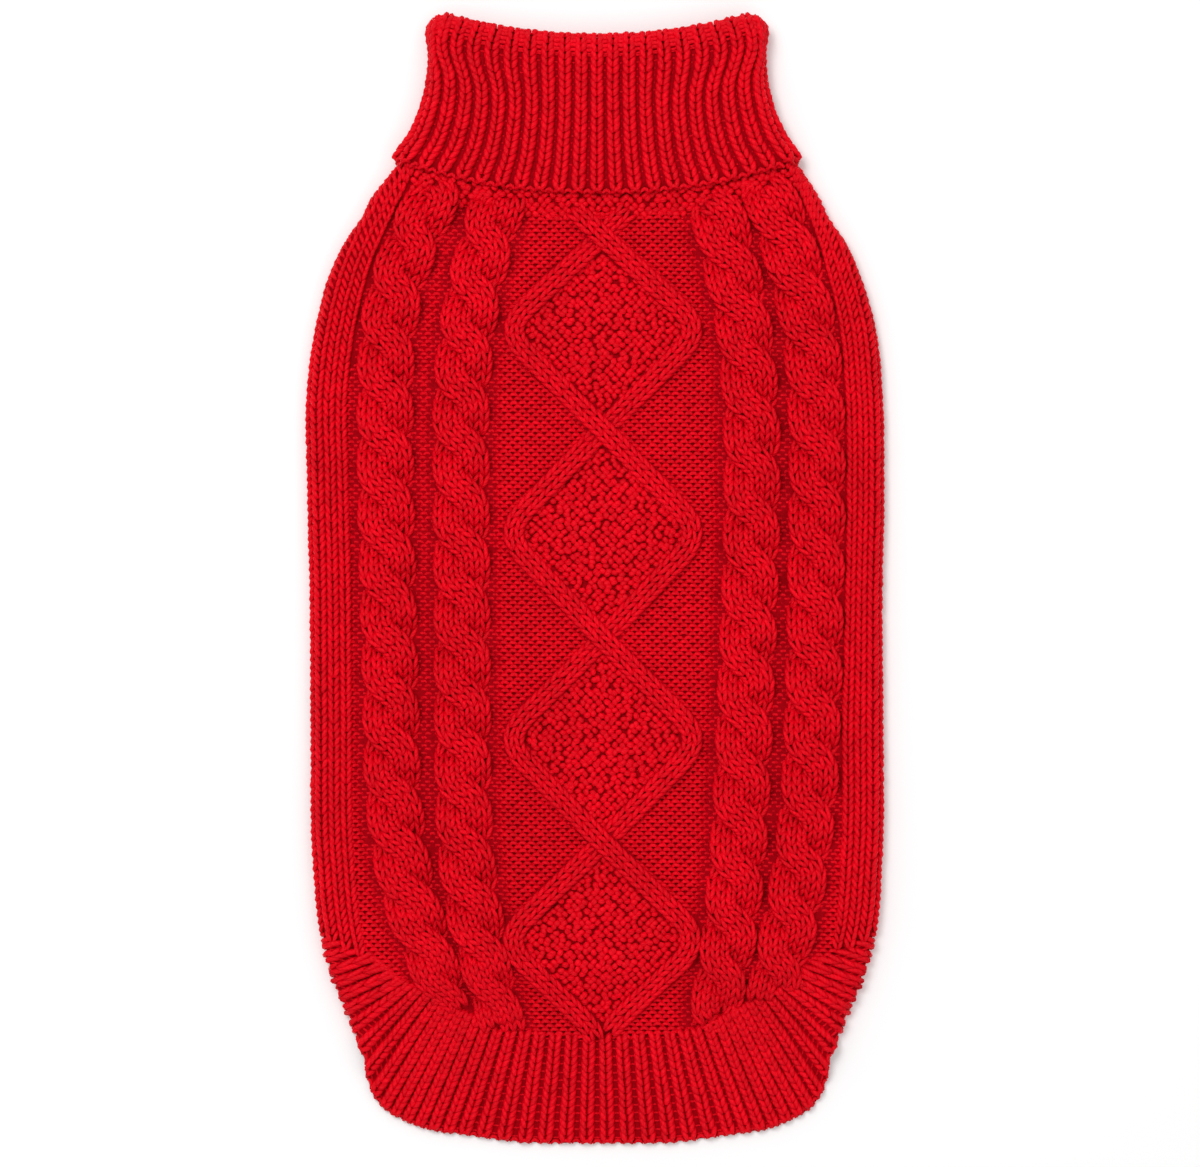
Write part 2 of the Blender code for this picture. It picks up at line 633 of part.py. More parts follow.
def collar_point(rib, down, inset):
    """A point of the collar: round a flat tube whose ends are half circles, the given inset inside
    its outer face. rib counts from the middle of the back to the middle of the throat, and down runs
    from 0 at the fold to 1 at the free edge. The ribs widen together, as the sides do, and above the
    waist those on top crowd towards the side folds."""
    top, edge = collar_top(COLLAR_REACH[0]), collar_edge(COLLAR_REACH[1])
    half = through(COLLAR_SIDES, "half", top + (edge - top) * down)
    start, middle = half - COLLAR_HEIGHT / 2, (COLLAR_HEIGHT - COLLAR_WALL) / 2
    from_back = np.minimum(2 * np.abs(rib) / COLLAR_RIBS, 1)
    crowd = COLLAR_CROWD * through(COLLAR_LEAN, "lean", down) * from_back ** 2 * np.sin(np.pi * from_back)
    reach = (np.abs(rib) / COLLAR_RIBS + crowd) * (2 * start + np.pi * middle)
    turn = np.clip((reach - start) / middle, 0, np.pi)
    radius = COLLAR_HEIGHT / 2 - inset
    under = start - (reach - start - np.pi * middle)
    x = np.where(turn == 0, reach, np.where(turn == np.pi, under, start + radius * np.sin(turn)))
    x = np.where(np.abs(rib) == COLLAR_RIBS, 0, x)
    z = COLLAR_HEIGHT / 2 + radius * np.cos(turn)
    fold, free = collar_top(x / half * COLLAR_REACH[0]), collar_edge(x / half * COLLAR_REACH[1])
    return np.stack(np.broadcast_arrays(np.sign(rib) * x, fold + (free - fold) * down, z), axis=-1)


def make_collar():
    """The turned-down collar: its section goes up inside, over the fold and down outside."""
    folds = COLLAR_RIBS / 2
    shown = np.arange(-folds - 1, folds + 1.1, 0.5)
    under = np.append(np.arange(folds + 2.5, COLLAR_RIBS - 0.5, 1.5), COLLAR_RIBS)
    ribs = np.concatenate([shown, under, -under[-2::-1]])
    length = np.linalg.norm(collar_point(ribs, 1.0, 0.0) - collar_point(ribs, 0.0, 0.0), axis=1)
    seam = np.full(len(ribs), 0.9)
    for _ in range(30):
        end = collar_point(ribs, seam, COLLAR_LIFT)
        seam += (end[:, 1] - neck_seam(end[:, 0]) - 1.5 * SEAM) / length
    fold = (COLLAR_LIFT + NECK_WALL) / 2
    crest = rib_wave(ribs + 0.5)
    rib = np.where(np.abs(ribs) > folds + 0.6, 0.0, RIB_IN - (RIB_IN + RIB_OUT) * crest)
    flat = np.zeros_like(ribs)
    section = [(flat + 1.0, rib + EDGE_ROUND)]
    section += [(flat + down, rib) for down in (0.985, 0.82, 0.64, 0.46, 0.3, 0.15)]
    for lean in (1.0, 0.71, 0.0, -0.71, -1.0):
        reach = fold * (1 - np.sqrt(1 - lean * lean))
        section.append((reach / length, fold * (1 - lean) + rib * (0.3 + 0.7 * max(lean, 0))))
    section += [(seam * down, flat + 2 * fold) for down in (0.5, 1.0)]
    section += [(seam * down, flat + COLLAR_LIFT) for down in (1.0, 0.5)]
    section += [(3.6 / length, flat + COLLAR_LIFT), (3.3 / length, flat + COLLAR_LIFT - SEAM / 2)]
    section += [(3.6 / length, flat + COLLAR_WALL)]
    section += [(flat + down, flat + COLLAR_WALL) for down in (0.3, 0.64, 0.985)]
    section += [(flat + 1.0, flat + COLLAR_WALL - EDGE_ROUND)]
    points = np.stack([collar_point(ribs, down, inset) for down, inset in section], axis=1)
    return object_from("collar", *rings(points), (0.62, 0.004, 0.014))


for old in list(bpy.data.objects):
    bpy.data.objects.remove(old, do_unlink=True)
garment = bpy.data.collections.new("dog_sweater")
bpy.context.scene.collection.children.link(garment)

make_back_panel()
make_belly_panel()
make_hem_rib()
make_collar()
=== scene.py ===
import bpy
import numpy as np
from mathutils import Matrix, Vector


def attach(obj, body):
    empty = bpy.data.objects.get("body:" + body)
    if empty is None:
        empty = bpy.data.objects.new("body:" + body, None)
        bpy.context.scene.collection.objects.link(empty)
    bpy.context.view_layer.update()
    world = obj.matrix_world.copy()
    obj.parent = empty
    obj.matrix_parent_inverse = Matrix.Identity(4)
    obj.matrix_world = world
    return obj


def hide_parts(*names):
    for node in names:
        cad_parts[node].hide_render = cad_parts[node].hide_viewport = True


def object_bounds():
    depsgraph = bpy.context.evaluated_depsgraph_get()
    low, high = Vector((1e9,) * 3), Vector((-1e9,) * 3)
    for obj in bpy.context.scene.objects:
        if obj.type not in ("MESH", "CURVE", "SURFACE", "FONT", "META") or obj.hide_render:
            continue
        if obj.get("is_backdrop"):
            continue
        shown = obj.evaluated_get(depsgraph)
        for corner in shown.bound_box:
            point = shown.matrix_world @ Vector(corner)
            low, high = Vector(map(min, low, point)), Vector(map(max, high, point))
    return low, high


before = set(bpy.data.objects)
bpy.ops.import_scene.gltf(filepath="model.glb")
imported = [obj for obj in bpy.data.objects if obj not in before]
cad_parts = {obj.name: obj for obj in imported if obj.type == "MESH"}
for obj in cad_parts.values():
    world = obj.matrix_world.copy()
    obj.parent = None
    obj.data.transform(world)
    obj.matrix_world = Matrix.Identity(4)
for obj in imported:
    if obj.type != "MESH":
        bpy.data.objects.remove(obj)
cad_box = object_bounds()

# ------------------------------------------------------------------------------------------------
# Back panel, the cloth. One flat piece knitted in worsted acrylic yarn. It lies on the belly panel,
# turns round both side folds and is sewn to the belly by its edges. This is the inner yarn of the
# knitting, which shows between the stitches that the later sections lay over it. Its darker red is
# painted shade.

# Sizes in millimetres, in the garment's own places: across the wall from the middle of the back,
# along the garment towards the collar, and out of the cloth.
CENTRE = np.array([-0.80, 0.30, 0.0])
WALL, SEAM, GAP = 3.0, 0.3, 0.9
BAND, COLUMN, WRAP = 16.8, 4.9, 26.0
ROPE, STRAND_COLUMN, STRAND_APART = 11.4, 4.1, 5.3
CORD, CORD_RISE, TURN, MOSS_TOP = 4.7, 2.8, 13.0, 137.8
NECK_TUCK, YARN_OVER_CLOTH = 7.0, 1.5


def table(names, rows):
    """A table's columns by name, from one row for each section."""
    return dict(zip(names.split(), np.array(rows, float).T))


SIDES = table("along left right fold", [
    (-226, 108.0, 108.0, 6.8), (-199, 101.0, 101.0, 6.8), (-187, 96.4, 96.6, 6.8),
    (-176, 99.6, 100.0, 6.8), (-160, 106.4, 106.8, 7.2), (-144, 110.4, 111.2, 7.8),
    (-112, 113.8, 114.2, 8.0), (-60, 114.6, 114.6, 8.0), (-8, 115.0, 114.2, 8.0),
    (40, 116.0, 115.0, 8.0), (73, 116.4, 114.4, 8.0), (105, 112.0, 110.8, 8.0),
    (121, 107.8, 106.0, 8.0), (137, 100.4, 98.8, 8.0), (145, 94.6, 93.0, 8.0),
    (153, 90.8, 89.2, 7.8), (160, 85.4, 84.8, 7.4), (165, 81.0, 81.2, 7.0),
    (170, 77.0, 77.0, 6.9), (177, 73.4, 73.4, 6.9),
])
ROPES = table("along left_outer left_inner lattice right_inner right_outer", [
    (-185, -55.0, -36.0, 1.6, 45.0, 66.0), (-165, -61.5, -41.5, 1.6, 48.5, 70.0),
    (-147, -67.6, -46.2, 2.0, 52.0, 74.6), (-127, -74.6, -50.0, 2.4, 54.4, 79.0),
    (-107, -78.8, -52.6, 2.4, 56.4, 82.0), (-87, -81.2, -53.4, 2.4, 57.6, 84.4),
    (-47, -82.4, -53.8, 2.4, 59.2, 86.2), (-7, -83.4, -54.0, 2.4, 60.8, 87.2),
    (33, -84.4, -54.3, 2.4, 61.8, 87.8), (73, -84.6, -54.2, 2.4, 61.2, 87.2),
    (101, -83.4, -51.8, 2.4, 58.6, 84.6), (121, -79.2, -48.2, 2.2, 54.6, 80.0),
    (147, -68.6, -40.8, 1.8, 48.2, 71.8), (168, -58.0, -34.0, 1.6, 42.0, 62.0),
])
ROPE_NEXT = {"left_outer": "left_inner", "left_inner": "left_outer",
             "right_inner": "right_outer", "right_outer": "right_inner"}
ROPE_START = {"left_outer": 127.6, "left_inner": 127.0, "right_inner": 120.7, "right_outer": 129.4}
ROPE_PITCH = {"left_outer": 20.1, "left_inner": 20.1, "right_inner": 20.45, "right_outer": 20.9}
LATTICE = table("along across", [
    (168, -30.2), (137.8, 0), (100.6, 40.2), (60.6, 0), (19.4, -40.2), (-23, 0),
    (-63, 40.2), (-104.2, 0), (-143.4, -40.2), (-181, -1.5), (-190, -1.5),
])
HEM = table("rib in_across in_along out_across out_along", [
    (0, 0, -183.0, 0, -225.2), (4, 0.268, -181.4, 0.311, -224.6), (6.5, 0.408, -180.2, 0.502, -221.8),
    (8.5, 0.487, -176.0, 0.622, -220.0), (10.5, 0.545, -172.4, 0.727, -216.4),
    (13.5, 0.625, -167.4, 0.874, -205.8), (15.5, 0.685, -163.4, 0.985, -187.0),
    (18.5, 0.770, -157.0, 1.140, -171.5), (20.5, 0.840, -150.6, 1.240, -163.5),
    (22.5, 0.960, -143.8, 1.370, -157.0), (25, 1.130, -136.0, 1.500, -153.4),
    (29, 1.420, -120.0, 1.680, -151.0), (32, 1.680, -114.0, 1.820, -150.3), (36, 2, -112.0, 2, -150.0),
])


def through(rows, column, at):
    """A smooth line through a table's rows: cubic pieces with the mean slope of their neighbours."""
    x, v = rows[next(iter(rows))], rows[column]
    slope = np.gradient(v, x)
    at = np.clip(at, x[0], x[-1])
    i = np.clip(np.searchsorted(x, at) - 1, 0, len(x) - 2)
    step = x[i + 1] - x[i]
    t = (at - x[i]) / step
    return (v[i] * (1 + 2 * t) * (1 - t) ** 2 + slope[i] * step * t * (1 - t) ** 2
            + v[i + 1] * t * t * (3 - 2 * t) + slope[i + 1] * step * t * t * (t - 1))


def ease(t):
    """0 below 0, 1 above 1, and a smooth rise between."""
    t = np.clip(t, 0, 1)
    return t * t * (3 - 2 * t)


def collar_edge(across):
    """How far along the garment the collar's free edge lies: lowest in the middle, by a power curve."""
    return 155.0 + 13.6 * (np.minimum(np.abs(across), 84) / 81) ** 2.3


def half_width(across, along):
    """Half the flattened body's width, on the side that across is on."""
    return np.where(across < 0, through(SIDES, "left", along), through(SIDES, "right", along))


def fold_start(across, along):
    """Where the flat of the body ends: half the width less half the fold's height."""
    return half_width(across, along) - through(SIDES, "fold", along) / 2


def half_girth(across, along):
    """From the middle of the back to the middle of the belly: both flats and the half circle between."""
    return 2 * fold_start(across, along) + np.pi * (through(SIDES, "fold", along) - WALL) / 2


def belly_seam(side, along):
    """The seam between side band and belly, measured round the wall."""
    return half_girth(side, along) - (half_width(side, along) - WRAP)


def lift(across, along):
    """How far the collar's lower layer holds the body off the table."""
    return 2.9 * ease((along - collar_edge(across) + 1) / 9.0 + 1)


def inner_height(across, along):
    """The back's inner face: it lies on the belly, rises to the side folds, and comes down behind."""
    belly_end = -150.0 - 24.0 * (np.minimum(np.abs(across), 98) / 92) ** 4
    low = (WALL + GAP) * ease((along - belly_end + 2) / 15.0 + 1)
    swell = 0.45 * (1 + np.sin(along / 37 + 0.8) * np.sin(across / 27 + 0.5))
    low = low + swell * ease((110 - np.abs(along + 20)) / 40) * ease((84 - np.abs(across)) / 30)
    rise = through(SIDES, "fold", along) - WALL
    at_fold = ease((np.abs(across) - fold_start(across, along)) / 14.0 + 1) * ease((along + 187.0) / 21.0 + 1)
    return low + (rise - low) * at_fold + lift(across, along)


def lay(across, along, height):
    """Where a point of the body tube lies: over the top to the side fold, round it as a half circle,
    and back in under the body. What stands proud of the wall sinks in as the wall turns under."""
    across, along, height = np.broadcast_arrays(across, along, height)
    start, middle = fold_start(across, along), (through(SIDES, "fold", along) - WALL) / 2
    reach = np.abs(across)
    turn = np.clip((reach - start) / middle, 0, np.pi)
    height = height - np.maximum(height - WALL, 0) * (1 - np.cos(turn)) / 2
    radius = middle - WALL / 2 + height
    under = start - (reach - start - np.pi * middle)
    x = np.where(turn == 0, reach, np.where(turn == np.pi, under, start + radius * np.sin(turn)))
    round_z = through(SIDES, "fold", along) / 2 + radius * np.cos(turn) + lift(x, along)
    z = np.where(turn == 0, inner_height(across, along) + height, round_z)
    return np.stack([np.sign(across) * x, along, z], axis=-1)


def beside_collar(across, behind):
    """How far along a point lies that is this far behind the collar's bent free edge."""
    along = np.full(np.shape(across), 160.0)
    for _ in range(40):
        along = (along + collar_edge(np.abs(lay(across, along, WALL)[..., 0])) - behind) / 2
    return along


def hem_point(rib, part):
    """A point of the rear band: rib counts from the middle of the back, negative to the left, and
    part runs from 0 where the rib is picked up to 1 at its free edge, straight in the unrolled cloth."""
    side = np.where(rib < 0, -1.0, 1.0)
    ends = []
    for across, along in (("in_across", "in_along"), ("out_across", "out_along")):
        end = through(HEM, along, np.abs(rib))
        ends.append((through(HEM, across, np.abs(rib)) * half_girth(side, end) / 2, end))
    (in_across, in_along), (out_across, out_along) = ends
    return side * (in_across + (out_across - in_across) * part), in_along + (out_along - in_along) * part


HEM_LINE = np.stack(hem_point(np.linspace(0, 36, 145), 0.0), axis=-1)


def hem_pick_up(across):
    """The line along the garment where the rear band is picked up from the back."""
    return np.interp(np.abs(across), HEM_LINE[:, 0], HEM_LINE[:, 1])


def rope_half(name, along):
    """Half the width of a rope cable, less where its neighbour squeezes it."""
    apart = np.abs(through(ROPES, name, along) - through(ROPES, ROPE_NEXT[name], along))
    return np.minimum(ROPE, apart / 2 - 0.3)


def band_edge(side, along):
    """The side band's inner edge, crowded near the collar by the rope beside it."""
    rope = np.where(side < 0, -through(ROPES, "left_outer", along), through(ROPES, "right_outer", along))
    return np.maximum(half_width(side, along) - BAND, rope + ROPE + 0.6)


def cord_line(side):
    """One lattice cord as a line of straight runs whose turns are rounded by parabolas."""
    corners = np.stack([side * LATTICE["across"], LATTICE["along"]], axis=-1)
    line, t = [corners[:1]], np.linspace(0, 1, 9)[:, None]
    for before, corner, after in zip(corners, corners[1:], corners[2:]):
        a = corner + (before - corner) * min(0.45, TURN / np.linalg.norm(before - corner))
        b = corner + (after - corner) * min(0.45, TURN / np.linalg.norm(after - corner))
        straight = abs((a - corner)[0] * (b - corner)[1] - (a - corner)[1] * (b - corner)[0]) < 5
        line.append(corner[None] if straight else (1 - t) ** 2 * a + 2 * t * (1 - t) * corner + t * t * b)
    line = np.concatenate(line + [corners[-1:]])
    return np.stack([line[:, 0] + through(ROPES, "lattice", line[:, 1]), line[:, 1]], axis=-1)


CORD_LINES = [cord_line(1), cord_line(-1)]


def distance_to(line, across, along):
    """Distance of points from a line of straight pieces: the least over its pieces."""
    best = np.full(np.shape(across), np.inf)
    for (ax, ay), (bx, by) in zip(line, line[1:]):
        dx, dy = bx - ax, by - ay
        t = np.clip(((across - ax) * dx + (along - ay) * dy) / (dx * dx + dy * dy), 0, 1)
        best = np.minimum(best, np.hypot(across - ax - t * dx, along - ay - t * dy))
    return best


def strand_path(name, along, step):
    """Where a rope's strand lies across, and its turn: a half width times a flattened cosine of the
    turn, so it runs straight at the sides and slants across between. It goes over the other strand
    while the turn is between 0 and 1, and behind it between 1 and 2."""
    turn = (ROPE_START[name] - along) / ROPE_PITCH[name] + step
    soft = 1.4 + 1.2 * ease(-2 * np.sin(np.pi * turn))
    swing = -STRAND_APART * np.tanh(soft * np.cos(np.pi * turn)) / np.tanh(soft)
    return through(ROPES, name, along) + swing * rope_half(name, along) / ROPE, turn


def strand_height(off, turn):
    """A strand's face: round across, high while it lies over the other strand and low behind it."""
    w = np.clip(np.abs(off) / (1.52 * STRAND_COLUMN), 0, 1)
    return -1.2 + 2.4 * np.tanh(2.5 * np.sin(np.pi * turn) + 0.9) + 2.6 * np.sqrt(1 - w * w)


def gutter(across, along):
    """How deep the ground's yarn sinks beside the ropes, over 6 mm."""
    near = [np.abs(across - through(ROPES, name, along)) - rope_half(name, along) for name in ROPE_NEXT]
    return 1.2 * ease((6.0 - np.min(near, axis=0)) / 5.0)


def raised_core(across, along):
    """How far the cloth stands up under its yarn: a step under the side bands as far as the folds,
    the faces of the ropes' strands, and half circles under the cords. It is never below 0, so the
    gutter only softens the foot of the side bands' step: beside the ropes the yarn sinks alone."""
    step = ease(np.abs(across) - band_edge(across, along))
    turned = ease((np.abs(across) - fold_start(across, along)) / 5.0)
    rise = 0.95 * step * (1 - turned) - gutter(across, along) * (1 - step)
    for name in ROPE_NEXT:
        for step in (0, 1):
            middle, turn = strand_path(name, along, step)
            ahead, _ = strand_path(name, along + 0.5, step)
            off = (across - middle) / np.hypot(1, (ahead - middle) / 0.5) * ROPE / rope_half(name, along)
            under_strand = np.abs(off) < 1.1 * STRAND_COLUMN
            rise = np.maximum(rise, (strand_height(1.2 * off, turn) + 1.1) * under_strand)
    for line in CORD_LINES:
        w = np.clip(distance_to(line, across, along) / CORD, 0, 1)
        rise = np.where(w < 1, np.maximum(rise, 0.95 * CORD_RISE * np.sqrt(1 - w * w)), rise)
    return rise * ease((collar_edge(across) - 3 - along) / 9.0) * ease((along - hem_pick_up(across)) / 9.0)


def linear(hexes):
    """An sRGB hex colour as linear light with full alpha."""
    c = np.array([int(hexes[i:i + 2], 16) for i in (1, 3, 5)]) / 255
    return (*np.where(c <= 0.04045, c / 12.92, ((c + 0.055) / 1.055) ** 2.4).tolist(), 1.0)


def add(tree, kind, settings, links=()):
    """Adds a node, sets its own options or its inputs' values by name, and links other sockets in."""
    made = tree.nodes.new(kind)
    for name, value in settings.items():
        if isinstance(name, str) and hasattr(made, name):
            setattr(made, name, value)
        else:
            made.inputs[name].default_value = value
    for name, socket in dict(links).items():
        tree.links.new(socket, made.inputs[name])
    return made


def material(name):
    """An empty material with its output node."""
    made = bpy.data.materials.new(name)
    made.use_nodes = True
    made.node_tree.nodes.clear()
    return made, made.node_tree, made.node_tree.nodes.new("ShaderNodeOutputMaterial")


def piece(name, points, loops, totals, finish, uv=None, tone=None):
    """An object from points in millimetres and faces given as one run of corners and the number of
    corners of each. It rides on the garment and takes its slot's finish."""
    mesh = bpy.data.meshes.new(name)
    mesh.vertices.add(len(points))
    mesh.vertices.foreach_set("co", ((np.asarray(points) - CENTRE) * 0.001).ravel())
    mesh.loops.add(len(loops))
    mesh.loops.foreach_set("vertex_index", loops)
    mesh.polygons.add(len(totals))
    mesh.polygons.foreach_set("loop_start", np.concatenate([[0], np.cumsum(totals)[:-1]]))
    mesh.polygons.foreach_set("use_smooth", np.ones(len(totals), bool))
    mesh.update(calc_edges=True)
    if uv is not None:
        mesh.uv_layers.new(name="strand").data.foreach_set("uv", uv.ravel())
    if tone is not None:
        mesh.attributes.new("tone", "FLOAT", "POINT").data.foreach_set("value", tone)
    mesh.materials.append(finish)
    made = bpy.data.objects.new(name, mesh)
    bpy.context.scene.collection.objects.link(made)
    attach(made, "root")
    return made


def closed_wall(name, outer, inner, finish):
    """A closed wall from two grids of the same size: the outer face, the inner face turned round, and
    a strip along all four borders between them."""
    rows, columns = outer.shape[:2]
    index = np.arange(rows * columns).reshape(rows, columns)
    face = np.stack([index[:-1, :-1], index[:-1, 1:], index[1:, 1:], index[1:, :-1]], -1).reshape(-1, 4)
    rim = np.concatenate([index[0], index[1:, -1], index[-1, -2::-1], index[-2:0:-1, 0]])
    after, far = np.roll(rim, -1), rows * columns
    edge = np.stack([rim, rim + far, after + far, after], -1)
    faces = np.concatenate([face, face[:, ::-1] + far, edge])
    points = np.concatenate([outer.reshape(-1, 3), inner.reshape(-1, 3)])
    return piece(name, points, faces.ravel(), np.full(len(faces), 4), finish)


# Inner yarn of a knitted cloth: worsted acrylic and matt. Its deep reds are painted shade, darker than
# the stitches' own red, for the little light that reaches between them. A fine noise of 0.6 mm breaks
# it up as crossing yarns do.
painted_shade_finish, tree, out = material("worsted_acrylic_painted_shade")
place = add(tree, "ShaderNodeTexCoord", {})
fibre = add(tree, "ShaderNodeTexNoise", {"Scale": 900.0, "Detail": 3.0}, {"Vector": place.outputs["Object"]})
# Painted shade: both reds are darker than the yarn's own red dye.
shade = add(tree, "ShaderNodeMix", {"data_type": "RGBA", 6: linear("#7C0008"), 7: linear("#B40010")},
            {0: fibre.outputs["Fac"]})
bump = add(tree, "ShaderNodeBump", {"Strength": 0.5, "Distance": 0.0004}, {"Height": fibre.outputs["Fac"]})
skin = add(tree, "ShaderNodeBsdfPrincipled", {"Roughness": 0.9, "Specular IOR Level": 0.05},
           {"Base Color": shade.outputs[2], "Normal": bump.outputs["Normal"]})
tree.links.new(skin.outputs["BSDF"], out.inputs["Surface"])

# The cloth's grid: columns share the way from seam to seam, rows share it from rear band to neck.
share, rows = np.linspace(-1, 1, 149)[None], np.linspace(0, 1, 153)[:, None]
low, high = np.full(share.shape, -150.0), np.full(share.shape, 160.0)
for _ in range(40):
    low = (low + hem_pick_up(share * belly_seam(share, low)) + SEAM + 0.2) / 2
    high = (high + beside_collar(share * belly_seam(share, high), -NECK_TUCK + 0.5)) / 2
along = low + (high - low) * rows
across = share * (belly_seam(share, along) - 0.2)
back_cloth = closed_wall(
    "back_panel_cloth", lay(across, along, WALL - YARN_OVER_CLOTH + raised_core(across, along)),
    lay(across, along, 0.0), painted_shade_finish)
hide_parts("back_panel")

# ------------------------------------------------------------------------------------------------
# Side bands. Stockinette columns of V stitches in worsted acrylic, knitted with the back. They run
# beside the ropes, round the side folds and in under the body to the belly seams.

chance = np.random.default_rng(7)


def yarn(name, lengths, finish, sides=5):
    """Short lengths of yarn as one mesh. Each length has stations along its middle, the way out of the
    cloth there, and half widths. Round a station stands a ring with a flat underside: the half width
    times the cosine to the side, and times the sine and a little more outwards. The rings at both
    ends are closed by faces. Yarn that rests on the table is pressed flat there, and a length with no
    way out of the cloth is left away. The UV map is millimetres along the yarn and turns round it."""
    middle, out, half = (np.concatenate(parts) for parts in zip(*lengths))
    beside = np.cross(np.gradient(middle, axis=1), out)
    whole = np.linalg.norm(beside, axis=-1).min(axis=1) > 1e-6
    middle, out, half, beside = middle[whole], out[whole], half[whole], beside[whole]
    count, stations = half.shape
    run = np.gradient(middle, axis=1)
    run /= np.linalg.norm(run, axis=-1, keepdims=True)
    beside /= np.linalg.norm(beside, axis=-1, keepdims=True)
    up = np.cross(beside, run)
    angle = np.radians({5: (-28, 34, 90, 146, 208), 4: (-20, 55, 125, 200)}[sides])
    ring = (beside[:, :, None] * np.cos(angle)[None, None, :, None]
            + 1.08 * up[:, :, None] * np.sin(angle)[None, None, :, None])
    points = middle[:, :, None] + ring * half[:, :, None, None]
    points[..., 2] = np.maximum(points[..., 2], 0.0)
    index = np.arange(count * stations * sides).reshape(count, stations, sides)
    near, far = index[:, :-1], index[:, 1:]
    quads = np.stack([near, far, np.roll(far, -1, 2), np.roll(near, -1, 2)], -1).reshape(-1, 4)
    caps = np.concatenate([index[:, 0], index[:, -1, ::-1]])
    walk = np.concatenate([np.zeros((count, 1)), np.cumsum(
        np.linalg.norm(np.diff(middle, axis=1), axis=-1), axis=1)], axis=1)
    walk = walk + chance.uniform(0, 40, (count, 1))
    turn = np.arange(sides) / sides
    u0, u1, v0 = (np.broadcast_to(a, near.shape) for a in (walk[:, :-1, None], walk[:, 1:, None], turn))
    quad_uv = np.stack([u0, v0, u1, v0, u1, v0 + 1 / sides, u0, v0 + 1 / sides], -1).reshape(-1, 2)
    cap_uv = np.repeat(np.concatenate([walk[:, 0], walk[:, -1]]), sides)
    cap_uv = np.stack([cap_uv, np.tile(turn, 2 * count)], -1)
    return piece(
        name, points.reshape(-1, 3), np.concatenate([quads.ravel(), caps.ravel()]),
        np.concatenate([np.full(len(quads), 4), np.full(len(caps), sides)]), finish,
        np.concatenate([quad_uv, cap_uv]), np.repeat(chance.uniform(0, 1, count), stations * sides))


def outwards(surface, first, second, height):
    """Stations on a surface and the way out of it there: the cross of its slopes both ways."""
    at = surface(first, second, height)
    out = np.cross(surface(first + 0.1, second, height) - surface(first - 0.1, second, height),
                   surface(first, second + 0.2, height) - at)
    out /= np.maximum(np.linalg.norm(out, axis=-1, keepdims=True), 1e-9)
    turned = np.sum(out * (at - surface(first, second, height - 2.0)), axis=-1, keepdims=True)
    return at, np.where(turned < 0, -out, out)


def v_stitches(surface, column, row, wide, tall, thick=1.02, slant=0.32, long=1.55, stations=4, flat=1.0):
    """V stitches with their point to the rear. A leg is a spindle a quarter of wide off its column's
    middle: it leans outwards by slant times wide over long times tall. Its foot arches over the
    stitch behind by a half wave and its head dives. thick is its greatest half width."""
    t = np.linspace(0, 1, stations)[None]
    wide, tall, column, row = (np.asarray(a, float).reshape(-1, 1) for a in (wide, tall, column, row))
    count = len(column)
    for side in (-1, 1):
        loose = chance.normal(0, 0.05, (count, 3, 1))
        first = column + side * wide * (0.25 + slant * (t - 0.5)) + wide * loose[:, 0] * 0.25
        second = row + tall * (long * t + loose[:, 1])
        height = flat * (0.55 * np.sin(np.pi * t) - 0.95 * t + 0.15) + loose[:, 2]
        at, out = outwards(surface, first, second, height)
        yield at, out, thick * (0.36 + 0.64 * np.sin(np.pi * (0.1 + 0.8 * t))) * (1 + loose[:, 1])


# Worsted acrylic yarn: four plies twisted to a round, slightly hairy strand of 2 mm, dyed red. Its
# fibres give slanted threads of light along each stitch, a soft sheen and no gloss. The threads are a
# bump and also lighter streaks painted into the red, which are painted highlights. The plies show at
# 1.4 mm, a little coarser than they are.
stitch_yarn, tree, out = material("worsted_acrylic_yarn_red")
strand = add(tree, "ShaderNodeUVMap", {"uv_map": "strand"})
parts = add(tree, "ShaderNodeSeparateXYZ", {}, {"Vector": strand.outputs["UV"]})
ply = add(tree, "ShaderNodeMath", {"operation": "MULTIPLY", 1: 4 * 2 * np.pi}, {0: parts.outputs["Y"]})
ply = add(tree, "ShaderNodeMath", {"operation": "MULTIPLY_ADD", 1: 2 * np.pi / 1.5},
          {0: parts.outputs["X"], 2: ply.outputs[0]})
ply = add(tree, "ShaderNodeMath", {"operation": "SINE"}, {0: ply.outputs[0]})
lean = add(tree, "ShaderNodeMath", {"operation": "MULTIPLY_ADD", 1: 3.2},
           {0: parts.outputs["Y"], 2: parts.outputs["X"]})
thread = add(tree, "ShaderNodeCombineXYZ", {}, {"X": lean.outputs[0], "Y": parts.outputs["Y"]})
thread = add(tree, "ShaderNodeMapping", {"Scale": (0.5, 14.0, 1.0)}, {"Vector": thread.outputs["Vector"]})
fibre = add(tree, "ShaderNodeTexNoise", {"Scale": 1.0, "Detail": 4.0, "Roughness": 0.6},
            {"Vector": thread.outputs["Vector"]})
relief = add(tree, "ShaderNodeMath", {"operation": "MULTIPLY_ADD", 1: 0.28},
             {0: ply.outputs[0], 2: fibre.outputs["Fac"]})
bump = add(tree, "ShaderNodeBump", {"Strength": 0.6, "Distance": 0.0004}, {"Height": relief.outputs[0]})
tone = add(tree, "ShaderNodeAttribute", {"attribute_name": "tone"})
where = add(tree, "ShaderNodeTexCoord", {})
batch = add(tree, "ShaderNodeTexNoise", {"Scale": 22.0, "Detail": 2.0}, {"Vector": where.outputs["Object"]})
mixed = add(tree, "ShaderNodeMath", {"operation": "MULTIPLY_ADD", 1: 0.2},
            {0: tone.outputs["Fac"], 2: fibre.outputs["Fac"]})
mixed = add(tree, "ShaderNodeMath", {"operation": "MULTIPLY_ADD", 1: 0.25},
            {0: batch.outputs["Fac"], 2: mixed.outputs[0]})
